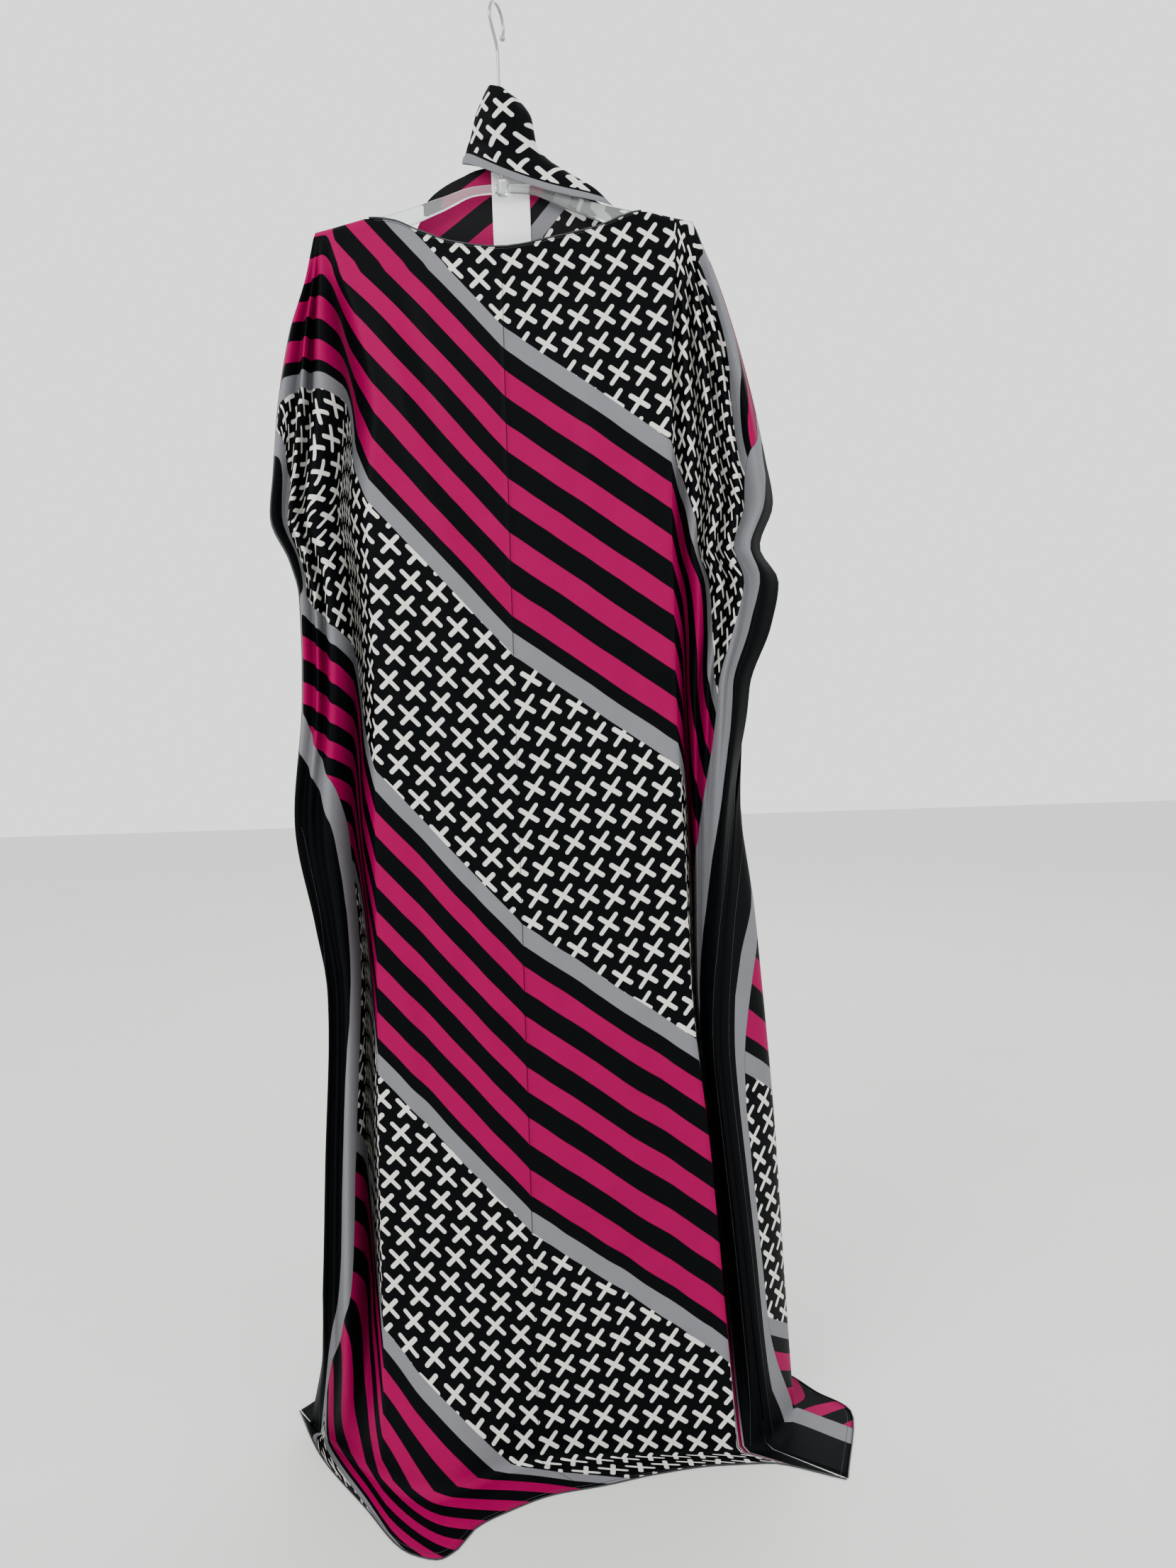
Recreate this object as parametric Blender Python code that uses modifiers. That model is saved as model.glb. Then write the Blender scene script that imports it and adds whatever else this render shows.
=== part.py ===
"""Batwing kaftan dress on a clear hanger, in metres, +Z up, with the hook's hold point at the origin.

+X is the viewer's right and the front faces -Y. The cloth is a set of thin closed walls. Each panel is
worked out from level sections: a flat middle between two body lines, and on each side a wing, whose
cloth hangs from the hanger's end in folds. The last rows of each panel lie on the floor.
"""

import math

import bmesh
import bpy
import numpy as np

COLLECTION = "batwing_kaftan"

# cloth
WALL = 0.0013
SEAM_GAP = 0.0003
SHOULDER_BEND = 0.0105
FLOOR = -1.66

# shoulder line over the hanger's arms: height at the middle, and its fall for each metre outwards
SHOULDER_PEAK = -0.1850
SHOULDER_FALL = 0.245

# the wings' open cuffs, between these two heights, and how wide they stand open
CUFF_TOP = -0.560
CUFF_END = -0.900
CUFF_OPEN = 0.034

# the heights between which the folds open out over the floor, and the gap that the seam then has
SETTLE_TOP = -1.46
HEM_GAP = 0.0012
LYING_RISE = 0.006

# the gap that the shoulder seam has round the hanger's end
TIP_GAP = 0.0009
TIP_END = -0.262
TIP_START_X = 0.192
TIP_WIDTH = 0.020
TIP_LEAD = 0.001

# hanger
ARM_DEPTH = 0.0036
BOSS_RADIUS = 0.0065
BOSS_LENGTH = 0.016
BOSS_Z = -0.1935
WIRE_RADIUS = 0.0019
HOOK_RADIUS = 0.0185
HOOK_TURN = math.radians(20)
HOOK_TIP_DEGREES = 215
HOOK_ARC_POINTS = 22
HOOK_RETURN = 0.034
HOOK_RETURN_STEPS = 8
BALL_RADIUS = 0.0034
STEM_FOOT_Z = -0.1852

# rolled front neck edge: radius, its distance from the panel's top edge, and how far it stays off its ends
NECK_EDGE_RADIUS = 0.0011
NECK_EDGE_RISE = 0.0020
NECK_EDGE_END = 0.004

# label, on the inner face of the back panel
LABEL_WIDTH = 0.044
LABEL_CENTRE_X = 0.009
LABEL_TOP = -0.1800
LABEL_FOOT = -0.2610
LABEL_THICKNESS = 0.0010
LABEL_CLEARANCE = 0.0010
LABEL_ROWS = 6
LABEL_COLUMNS = 4

# mesh density: places of the columns across the flat middle, and the numbers of rows
BODY_COLUMNS = (
    (0.00, 0.06, 0.11, 0.14, 0.18, 0.23, 0.28, 0.34, 0.42)
    + (0.50, 0.58, 0.66, 0.74, 0.81, 0.86, 0.89, 0.94, 1.00)
)
TOP_SHARES = (0, 0.004, 0.02, 0.06, 0.14, 0.30, 0.60)
LEVEL_ROWS = 21
LYING_ROWS = 2
FLANK_STEPS = 2
SHOULDER_JOIN = -0.285

# height; outermost left; left body line; right body line; outermost right
OUTLINE = (
    (-0.240, -0.2120, -0.1900, 0.1900, 0.2120),
    (-0.262, -0.2180, -0.1870, 0.1900, 0.2220),
    (-0.290, -0.2260, -0.1810, 0.1890, 0.2340),
    (-0.343, -0.2460, -0.1650, 0.1850, 0.2520),
    (-0.430, -0.2650, -0.1500, 0.1800, 0.2750),
    (-0.500, -0.2740, -0.1580, 0.1790, 0.2890),
    (-0.550, -0.2800, -0.1620, 0.1780, 0.2970),
    (-0.600, -0.2590, -0.1620, 0.1770, 0.2800),
    (-0.640, -0.2490, -0.1620, 0.1770, 0.3000),
    (-0.690, -0.2480, -0.1620, 0.1770, 0.2900),
    (-0.760, -0.2510, -0.1630, 0.1770, 0.2640),
    (-0.900, -0.2690, -0.1680, 0.1800, 0.2550),
    (-1.020, -0.2500, -0.1720, 0.1840, 0.2680),
    (-1.100, -0.2390, -0.1750, 0.1860, 0.2740),
    (-1.300, -0.2520, -0.1810, 0.2040, 0.2880),
    (-1.550, -0.2720, -0.1850, 0.2200, 0.3000),
    (-1.660, -0.2960, -0.1900, 0.2260, 0.3060),
)

# height; front plane y; back plane y
HANG = (
    (-0.240, -0.0105, 0.0105),
    (-0.300, -0.0190, 0.0210),
    (-0.430, -0.0320, 0.0380),
    (-0.640, -0.0410, 0.0500),
    (-0.900, -0.0480, 0.0580),
    (-1.200, -0.0540, 0.0640),
    (-1.660, -0.0680, 0.0720),
)

# height; how far the right side seam lies inside the outline; its y; its turn from the depth way, degrees
RIGHT_SEAM = (
    (-0.240, 0.000, 0.000, 0.0),
    (-0.780, 0.000, 0.000, 0.0),
    (-0.900, 0.010, -0.014, 35.0),
    (-1.050, 0.044, -0.040, 75.0),
    (-1.200, 0.061, -0.047, 90.0),
    (-1.450, 0.052, -0.054, 90.0),
    (-1.660, 0.044, -0.060, 90.0),
)
LEFT_SEAM_BACK = 0.014
LEFT_SEAM_BACK_TOP = -1.30
SEAM_LEAD = 0.004

# x; height of the front neck edge
FRONT_NECK = (
    (-0.154, -0.2240),
    (-0.120, -0.2300),
    (-0.095, -0.2410),
    (-0.056, -0.2550),
    (-0.003, -0.2620),
    (0.055, -0.2530),
    (0.102, -0.2430),
    (0.142, -0.2290),
    (0.158, -0.2250),
)

NECK_LIFT_WIDTH = 0.020

# x; height of the back neck edge, which is drawn up behind the hanger
BACK_NECK = (
    (-0.154, -0.2240),
    (-0.118, -0.2330),
    (-0.098, -0.2320),
    (-0.088, -0.2040),
    (-0.077, -0.1930),
    (-0.058, -0.1815),
    (-0.044, -0.1755),
    (-0.030, -0.1695),
    (-0.010, -0.1665),
    (0.030, -0.1740),
    (0.070, -0.1886),
    (0.110, -0.2094),
    (0.134, -0.2230),
    (0.158, -0.2250),
)

# each wing's folds: share of the way from the body line to the outermost edge near the shoulder and
# near the hem, then how far they reach from the panel's plane to the middle, near shoulder and hem
WING_FOLDS = {
    ("front", "left"): (
        (0.27, 0.30, 0.92, 1.00),
        (0.52, 0.56, 0.00, 0.15),
        (0.67, 0.68, 0.80, 0.45),
        (0.72, 0.75, 0.12, 0.30),
        (0.80, 0.82, 0.70, 0.55),
        (0.91, 0.92, 0.20, 0.35),
    ),
    ("front", "right"): (
        (0.08, 0.18, 0.55, 1.00),
        (0.20, 0.29, 0.02, 0.62),
        (0.34, 0.37, 0.80, 0.66),
        (0.43, 0.44, 0.08, 0.58),
        (0.55, 0.52, 0.75, 0.50),
        (0.64, 0.60, 0.08, 0.35),
        (0.75, 0.68, 0.60, 0.22),
        (0.88, 0.78, 0.15, 0.12),
    ),
    ("back", "left"): (
        (0.20, 0.22, 0.80, 0.95),
        (0.42, 0.44, 0.05, 0.10),
        (0.60, 0.60, 0.85, 0.80),
        (0.80, 0.80, 0.10, 0.15),
    ),
    ("back", "right"): (
        (0.22, 0.20, 0.85, 0.95),
        (0.44, 0.42, 0.05, 0.05),
        (0.62, 0.58, 0.80, 0.80),
        (0.82, 0.86, 0.12, 0.25),
        (0.90, 1.00, 0.30, 1.00),
    ),
}
MIDDLE_GAP = 0.0035
TOP_Z = -0.2402
FOLD_HIGH = -0.40
FOLD_LOW = -1.15
FOLD_START = -0.252
FOLD_START_LENGTH = 0.070

# share along the hem from left to right; x and y of the hem on the floor
FRONT_HEM = (
    (0.00, -0.3160, 0.0384),
    (0.09, -0.272, -0.0470),
    (0.19, -0.202, -0.1390),
    (0.27, -0.140, -0.2130),
    (0.31, -0.110, -0.2230),
    (0.35, -0.092, -0.2120),
    (0.38, -0.072, -0.1780),
    (0.44, -0.037, -0.1540),
    (0.52, 0.010, -0.1310),
    (0.60, 0.070, -0.1180),
    (0.70, 0.130, -0.1020),
    (0.80, 0.199, -0.0910),
    (0.92, 0.262, -0.0900),
    (1.00, 0.344, -0.1215),
)
BACK_HEM = (
    (0.00, -0.3142, 0.0398),
    (0.10, -0.262, 0.0960),
    (0.28, -0.140, 0.1080),
    (0.45, 0.000, 0.1080),
    (0.60, 0.140, 0.1080),
    (0.72, 0.250, 0.1020),
    (0.80, 0.306, 0.0860),
    (0.86, 0.341, 0.0430),
    (0.93, 0.377, -0.0050),
    (1.00, 0.3458, -0.1190),
)
LEFT_BULGE = (-0.125, 0.075, 0.060)
BULGE_TOP = -1.36

# neck drape rings from the front hem up: left x, left height, right x, right height, half depth
DRAPE_RINGS = (
    (-0.0445, -0.1650, 0.1230, -0.2150, 0.0165),
    (-0.0435, -0.1600, 0.1040, -0.1960, 0.0170),
    (-0.0400, -0.1540, 0.0760, -0.1790, 0.0175),
    (-0.0375, -0.1460, 0.0510, -0.1620, 0.0165),
    (-0.0350, -0.1410, 0.0400, -0.1490, 0.0180),
    (-0.0310, -0.1270, 0.0375, -0.1350, 0.0185),
    (-0.0280, -0.1160, 0.0350, -0.1190, 0.0180),
    (-0.0190, -0.0960, 0.0250, -0.1030, 0.0140),
    (-0.0125, -0.0840, 0.0080, -0.0890, 0.0090),
)
DRAPE_SIDES = 28
DRAPE_MIDDLE_Y = 0.0035
DRAPE_BACK_RISE = 0.004
DRAPE_BACK_FALL = 1.5
DRAPE_RIGHT_NARROWING = 0.45
DRAPE_BLUNTNESS = 0.14

# hanger arm from the middle out: x; top height; bar height
ARM_SECTIONS = (
    (0.000, -0.1890, 0.0100),
    (0.030, -0.1960, 0.0115),
    (0.070, -0.2055, 0.0170),
    (0.120, -0.2170, 0.0205),
    (0.158, -0.2248, 0.0180),
    (0.180, -0.2302, 0.0150),
    (0.200, -0.2378, 0.0110),
    (0.2055, -0.2410, 0.0060),
)
ARM_SIDES = 12

MATERIALS = {
    "front_panel": ((0.45, 0.02, 0.14, 1.0), 0.45, 0.0),
    "back_panel": ((0.30, 0.02, 0.10, 1.0), 0.45, 0.0),
    "neck_edge": ((0.012, 0.015, 0.017, 1.0), 0.55, 0.0),
    "neck_drape": ((0.30, 0.30, 0.30, 1.0), 0.45, 0.0),
    "label": ((0.85, 0.85, 0.85, 1.0), 0.70, 0.0),
    "hanger_body": ((0.80, 0.84, 0.86, 1.0), 0.10, 0.0),
    "hanger_hook": ((0.75, 0.75, 0.76, 1.0), 0.15, 1.0),
}


def follow(rows, at, falling=True):
    """Values of a table at one key, on a smooth curve that keeps between neighbouring rows."""
    sign = -1.0 if falling else 1.0
    keys = sign * np.array([row[0] for row in rows])
    values = np.array([row[1:] for row in rows])
    key = float(np.clip(sign * at, keys[0], keys[-1]))
    steps = np.diff(keys)[:, None]
    slopes = np.diff(values, axis=0) / steps
    tangents = np.vstack([slopes[:1], np.zeros_like(slopes[1:]), slopes[-1:]])
    same_way = slopes[:-1] * slopes[1:] > 0
    total = np.where(same_way, slopes[:-1] + slopes[1:], 1.0)
    tangents[1:-1] = np.where(same_way, 2 * slopes[:-1] * slopes[1:] / total, 0.0)
    i = int(np.clip(np.searchsorted(keys, key) - 1, 0, len(keys) - 2))
    width = keys[i + 1] - keys[i]
    u = (key - keys[i]) / width
    return (
        (2 * u**3 - 3 * u**2 + 1) * values[i]
        + (u**3 - 2 * u**2 + u) * width * tangents[i]
        + (3 * u**2 - 2 * u**3) * values[i + 1]
        + (u**3 - u**2) * width * tangents[i + 1]
    )


def shoulder_height(x):
    """Height of the shoulder line over the hanger's arm."""
    return SHOULDER_PEAK - SHOULDER_FALL * abs(x)


def bend(drop):
    """How far the cloth stands off the middle at a drop below the shoulder line, as a share."""
    k = min(max(drop, 0.0) / SHOULDER_BEND, 1.0)
    return math.sqrt(1.0 - (1.0 - k) ** 2)


def cuff_gap(height):
    """Half the distance between the front and back edges where the wings are open."""
    k = (CUFF_TOP - height) / (CUFF_TOP - CUFF_END)
    if height > TIP_END:
        return SEAM_GAP / 2 + TIP_GAP * (height - TIP_END) / (TOP_Z - TIP_END)
    if height < SETTLE_TOP:
        return SEAM_GAP / 2 + HEM_GAP / 2 * (SETTLE_TOP - height) / (SETTLE_TOP - FLOOR)
    if k <= 0.0 or k >= 1.0:
        return SEAM_GAP / 2
    return SEAM_GAP / 2 + CUFF_OPEN / 2 * math.sin(math.pi * k)


def through(points, steps):
    """Points of a smooth curve through fold points, with the same number of steps between each two."""
    points = [np.array(p, float) for p in points]
    tangents = [points[1] - points[0]]
    tangents += [(b - a) * 0.5 for a, b in zip(points, points[2:])]
    tangents += [points[-1] - points[-2]]
    curve = [points[0]]
    for a, b, ta, tb in zip(points, points[1:], tangents, tangents[1:]):
        for step in range(1, steps + 1):
            u = step / steps
            curve.append(
                (2 * u**3 - 3 * u**2 + 1) * a
                + (u**3 - 2 * u**2 + u) * ta
                + (3 * u**2 - 2 * u**3) * b
                + (u**3 - u**2) * tb
            )
    return curve


def seam_place(side, height):
    """Point of the side or shoulder seam at one height, and the way across the seam, front to back."""
    left, _, _, right = follow(OUTLINE, height)
    if side == "left":
        low = min(max((LEFT_SEAM_BACK_TOP - height) / (LEFT_SEAM_BACK_TOP - FLOOR), 0.0), 1.0)
        return np.array((left, LEFT_SEAM_BACK * low**2)), np.array((0.0, 1.0))
    inset, y, degrees = follow(RIGHT_SEAM, height)
    turn = math.radians(degrees)
    return np.array((right - inset, y)), np.array((math.sin(turn), math.cos(turn)))


def wing(panel, side, height, steps):
    """Section of a wing at one height, from the body line out to the side seam or shoulder seam."""
    left, body_left, body_right, right = follow(OUTLINE, height)
    facing = -1.0 if panel == "front" else 1.0
    near_end = bend(TOP_Z - height)
    plane = follow(HANG, height)[0 if panel == "front" else 1] * near_end
    middle = facing * MIDDLE_GAP * near_end
    seam, across = seam_place(side, height)
    body = body_left if side == "left" else body_right
    outermost = left if side == "left" else right
    if panel == "front":
        outermost = seam[0]
    low = min(max((FOLD_HIGH - height) / (FOLD_HIGH - FOLD_LOW), 0.0), 1.0)
    start = min(max((FOLD_START - height) / FOLD_START_LENGTH, 0.0), 1.0)
    settled = min(max((SETTLE_TOP - height) / (SETTLE_TOP - FLOOR), 0.0), 1.0)
    round_to = 0.0 if (panel, side) == ("back", "right") else seam[1]
    points = [(body, plane)]
    for share_high, share_low, reach_high, reach_low in WING_FOLDS[panel, side]:
        share = share_high + (share_low - share_high) * low
        opened = settled if share < 0.95 else 0.0
        reach = (reach_high + (reach_low - reach_high) * low) * start * (1.0 - opened)
        y = plane + (middle - plane) * reach + (round_to - plane) * share**1.5 * opened
        points.append((body + (outermost - body) * share, y))
    edge = seam + facing * across * cuff_gap(height)
    inward = np.array((TIP_LEAD if side == "left" else -TIP_LEAD, 0.0)) * (1 - near_end)
    points.append(edge + facing * across * SEAM_LEAD * near_end + inward)
    return through(points, steps) + [edge]


def level_section(panel, height, steps):
    """Section of a panel at one height, from its left edge to its right edge."""
    _, body_left, body_right, _ = follow(OUTLINE, height)
    left = wing(panel, "left", height, steps)[::-1]
    right = wing(panel, "right", height, steps)
    middle = [
        np.array([body_left + (body_right - body_left) * share, left[-1][1]]) for share in BODY_COLUMNS[1:-1]
    ]
    section = left + middle + right
    bulge_x, bulge_width, bulge_depth = LEFT_BULGE
    low = min(max((BULGE_TOP - height) / (BULGE_TOP - FLOOR), 0.0), 1.0)
    if panel == "front":
        for point in section:
            point[1] -= bulge_depth * low**2 * math.exp(-(((point[0] - bulge_x) / bulge_width) ** 2))
    return section


def body_point(panel, x, drop_share, height):
    """Point of a panel's middle in the rows between its neck edge or shoulder line and a level row."""
    neck = FRONT_NECK if panel == "front" else BACK_NECK
    top = shoulder_height(x)
    if neck[0][0] < x < neck[-1][0]:
        top = follow(neck, x, falling=False)[0]
    z = top + (height - top) * drop_share
    side = 0 if panel == "front" else 1
    facing = -1.0 if panel == "front" else 1.0
    share = bend(shoulder_height(x) - z)
    if panel == "back" and z > shoulder_height(x) - SHOULDER_BEND:
        lifted = min(x - neck[0][0], neck[-1][0] - x) / NECK_LIFT_WIDTH
        share = max(share, min(lifted, 1.0))
    return x, follow(HANG, z)[side] * share + facing * SEAM_GAP / 2 * (1 - share), z


def panel_rows(panel, steps):
    """Rows of points of a panel, from its top edge to its hem."""
    rows = []
    left_count = steps * (len(WING_FOLDS[panel, "left"]) + 1) + 1
    right_count = steps * (len(WING_FOLDS[panel, "right"]) + 1) + 1
    facing = -1.0 if panel == "front" else 1.0
    for share in TOP_SHARES:
        height = TOP_Z + (SHOULDER_JOIN - TOP_Z) * share
        section = level_section(panel, height, steps)
        last = len(section) - 1 - right_count
        row = []
        for j, (x, y) in enumerate(section):
            if left_count <= j <= last:
                row.append(body_point(panel, x, share, SHOULDER_JOIN))
            else:
                top = shoulder_height(x)
                near_tip = min(max((abs(x) - TIP_START_X) / TIP_WIDTH, 0.0), 1.0)
                gap = facing * (SEAM_GAP / 2 + TIP_GAP * near_tip) * (1 - bend(TOP_Z - height))
                row.append((x, y + gap, top + (SHOULDER_JOIN - top) * share))
        rows.append(row)
    for i in range(LEVEL_ROWS + 1):
        height = SHOULDER_JOIN + (FLOOR + LYING_RISE - SHOULDER_JOIN) * i / LEVEL_ROWS
        rows.append([(x, y, height) for x, y in level_section(panel, height, steps)])
    contact = level_section(panel, FLOOR, steps)
    lengths = np.cumsum([0.0] + [float(np.linalg.norm(b - a)) for a, b in zip(contact, contact[1:])])
    hem = FRONT_HEM if panel == "front" else BACK_HEM
    for i in range(LYING_ROWS):
        k = (i + 1) / LYING_ROWS
        row = []
        for point, length in zip(contact, lengths):
            target = follow(hem, length / lengths[-1], falling=False)
            x, y = point + (target - point) * k
            row.append((x, y, FLOOR + WALL / 2))
        rows.append(row)
    return rows


def grid_object(name, rows, closed=False):
    """Mesh object from rows of points; the rows are rings where closed is set."""
    mesh = bpy.data.meshes.new(name)
    build = bmesh.new()
    verts = [[build.verts.new(p) for p in row] for row in rows]
    count = len(rows[0])
    for upper, lower in zip(verts, verts[1:]):
        for j in range(count if closed else count - 1):
            k = (j + 1) % count
            build.faces.new((upper[j], lower[j], lower[k], upper[k]))
    build.to_mesh(mesh)
    build.free()
    part = bpy.data.objects.new(name, mesh)
    bpy.data.collections[COLLECTION].objects.link(part)
    return part


def thicken(part, thickness, offset=0.0):
    """Give an open surface its wall."""
    wall = part.modifiers.new("wall", "SOLIDIFY")
    wall.thickness = thickness
    wall.offset = offset
    wall.use_even_offset = False


def unite(part, shape, name):
    """Unite a simple shape with a part; the shape itself stays hidden in the cutters collection."""
    shape.name = name
    shape.hide_render = True
    shape.display_type = "WIRE"
    for owner in list(shape.users_collection):
        owner.objects.unlink(shape)
    bpy.data.collections["cutters"].objects.link(shape)
    join = part.modifiers.new(name, "BOOLEAN")
    join.operation = "UNION"
    join.object = shape


def finish(part):
    """Give a part its material and smooth shading."""
    colour, roughness, metallic = MATERIALS[part.name]
    material = bpy.data.materials.new(part.name)
    material.use_nodes = True
    shader = material.node_tree.nodes["Principled BSDF"]
    shader.inputs["Base Color"].default_value = colour
    shader.inputs["Roughness"].default_value = roughness
    shader.inputs["Metallic"].default_value = metallic
    part.data.materials.append(material)
    if part.type == "MESH":
        part.data.shade_smooth()


def make_panel(panel):
    """One cloth panel with its neck edge, two wings and hem."""
    rows = panel_rows(panel, FLANK_STEPS)
    if panel == "back":
        rows = [row[::-1] for row in rows]
    part = grid_object(panel + "_panel", rows)
    thicken(part, WALL)
    return part


def make_label():
    """Blank label made from the back panel's points, moved to its inner face."""
    offset = WALL / 2 + LABEL_CLEARANCE + LABEL_THICKNESS / 2
    rows = []
    for i in range(LABEL_ROWS + 1):
        z = LABEL_TOP + (LABEL_FOOT - LABEL_TOP) * i / LABEL_ROWS
        row = []
        for k in range(LABEL_COLUMNS + 1):
            x = LABEL_CENTRE_X + LABEL_WIDTH * (k / LABEL_COLUMNS - 0.5)
            top = follow(BACK_NECK, x, falling=False)[0]
            _, y, _ = body_point("back", x, (z - top) / (SHOULDER_JOIN - top), SHOULDER_JOIN)
            row.append((x, y - offset, z))
        rows.append(row)
    part = grid_object("label", rows)
    thicken(part, LABEL_THICKNESS)
    return part


def make_neck_edge():
    """Narrow rolled hem that follows the front neck edge, column by column."""
    curve = bpy.data.curves.new("neck_edge", "CURVE")
    curve.dimensions = "3D"
    curve.bevel_depth = NECK_EDGE_RADIUS
    curve.bevel_resolution = 1
    curve.use_fill_caps = True
    _, body_left, body_right, _ = follow(OUTLINE, TOP_Z)
    places = [body_left + (body_right - body_left) * share for share in BODY_COLUMNS]
    places = [x for x in places if FRONT_NECK[0][0] + NECK_EDGE_END < x < FRONT_NECK[-1][0] - NECK_EDGE_END]
    spline = curve.splines.new("POLY")
    spline.points.add(len(places) - 1)
    for target, x in zip(spline.points, places):
        _, y, z = body_point("front", x, 0.0, SHOULDER_JOIN)
        target.co = (x, y, z + NECK_EDGE_RISE, 1.0)
    part = bpy.data.objects.new("neck_edge", curve)
    bpy.data.collections[COLLECTION].objects.link(part)
    return part


def make_neck_drape():
    """Hood-like piece drawn up round the hook's stem, open at the foot and where the stem comes out."""
    rows = []
    for i, (left_x, left_z, right_x, right_z, depth) in enumerate(DRAPE_RINGS):
        ring = []
        rise = DRAPE_BACK_RISE * (1 - i / (len(DRAPE_RINGS) - 1))
        for k in range(DRAPE_SIDES):
            angle = 2 * math.pi * k / DRAPE_SIDES
            across = (1 - math.cos(angle)) / 2
            front = math.sin(angle)
            x = left_x + (right_x - left_x) * across
            fall = across if front > 0 else across**DRAPE_BACK_FALL
            z = left_z + (right_z - left_z) * fall + rise * max(0.0, -front)
            narrow = 1.0 - DRAPE_RIGHT_NARROWING * across**2 * (1 - i / len(DRAPE_RINGS))
            y = DRAPE_MIDDLE_Y - depth * narrow * front * (1 - DRAPE_BLUNTNESS * (1 - abs(front)))
            ring.append((x, y, z))
        rows.append(ring[::-1])
    rows.reverse()
    part = grid_object("neck_drape", rows, closed=True)
    thicken(part, WALL)
    return part


def make_hanger_body():
    """Moulded hanger: two arms with oval sections and a round boss for the hook."""
    stations = [(-x, top, height) for x, top, height in ARM_SECTIONS[:0:-1]] + list(ARM_SECTIONS)
    rows = []
    for x, top, height in stations:
        ring = []
        for k in range(ARM_SIDES):
            angle = 2 * math.pi * k / ARM_SIDES
            ring.append((x, ARM_DEPTH * math.cos(angle), top - height / 2 + height / 2 * math.sin(angle)))
        rows.append(ring[::-1])
    part = grid_object("hanger_body", rows, closed=True)
    build = bmesh.new()
    build.from_mesh(part.data)
    loops = [edge for edge in build.edges if edge.is_boundary]
    bmesh.ops.holes_fill(build, edges=loops, sides=ARM_SIDES)
    bmesh.ops.recalc_face_normals(build, faces=build.faces)
    build.to_mesh(part.data)
    build.free()
    bpy.ops.mesh.primitive_cylinder_add(
        vertices=16, radius=BOSS_RADIUS, depth=BOSS_LENGTH, location=(0.0, 0.0, BOSS_Z)
    )
    unite(part, bpy.context.object, "boss_shape")
    return part


def hook_points():
    """Centre line of the hook: ball tip, over the rod, down in front of it and back to the stem."""
    centre_z = WIRE_RADIUS - HOOK_RADIUS
    points = []
    for degrees in np.linspace(-(HOOK_TIP_DEGREES - 180), 180.0, HOOK_ARC_POINTS):
        angle = math.radians(degrees)
        points.append((HOOK_RADIUS * math.cos(angle), centre_z + HOOK_RADIUS * math.sin(angle)))
    for k in range(1, HOOK_RETURN_STEPS + 1):
        u = k / HOOK_RETURN_STEPS
        points.append((-HOOK_RADIUS * (0.5 + 0.5 * math.cos(math.pi * u)), centre_z - HOOK_RETURN * u))
    points.append((0.0, STEM_FOOT_Z))
    return [(u * math.sin(HOOK_TURN), u * math.cos(HOOK_TURN), z) for u, z in points]


def make_hanger_hook():
    """Bent wire hook with a ball on its tip."""
    curve = bpy.data.curves.new("hook_wire", "CURVE")
    curve.dimensions = "3D"
    curve.bevel_depth = WIRE_RADIUS
    curve.bevel_resolution = 1
    curve.use_fill_caps = True
    points = hook_points()
    spline = curve.splines.new("POLY")
    spline.points.add(len(points) - 1)
    for target, place in zip(spline.points, points):
        target.co = (*place, 1.0)
    wire = bpy.data.objects.new("hook_wire", curve)
    bpy.data.collections[COLLECTION].objects.link(wire)
    bpy.context.view_layer.update()
    evaluated = wire.evaluated_get(bpy.context.evaluated_depsgraph_get())
    mesh = bpy.data.meshes.new_from_object(evaluated)
    build = bmesh.new()
    build.from_mesh(mesh)
    bmesh.ops.remove_doubles(build, verts=build.verts, dist=0.00001)
    build.to_mesh(mesh)
    build.free()
    bpy.data.objects.remove(wire)
    part = bpy.data.objects.new("hanger_hook", mesh)
    bpy.data.collections[COLLECTION].objects.link(part)
    bpy.ops.mesh.primitive_uv_sphere_add(segments=14, ring_count=8, radius=BALL_RADIUS, location=points[0])
    unite(part, bpy.context.object, "ball_shape")
    return part


def main():
    for old in list(bpy.data.objects):
        bpy.data.objects.remove(old)
    for name in (COLLECTION, "cutters"):
        collection = bpy.data.collections.new(name)
        bpy.context.scene.collection.children.link(collection)
    parts = [
        make_panel("front"),
        make_panel("back"),
        make_neck_edge(),
        make_neck_drape(),
        make_label(),
        make_hanger_body(),
        make_hanger_hook(),
    ]
    for part in parts:
        finish(part)


main()
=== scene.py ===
"""Batwing kaftan dress on a clear hanger: the looks of its cloth, hanger and hook, in metres, +Z up.

The origin is the top of the inside of the hook. +X is the viewer's right and the front faces -Y. The cloth
hangs in the same form as the solids, worked out from level sections, with finer folds and creases.
"""

import logging
import math
from collections.abc import Iterable, Sequence
from dataclasses import dataclass, field
from enum import Enum

import bmesh
import bpy
import numpy as np
from mathutils import Matrix, Vector, noise


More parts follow.
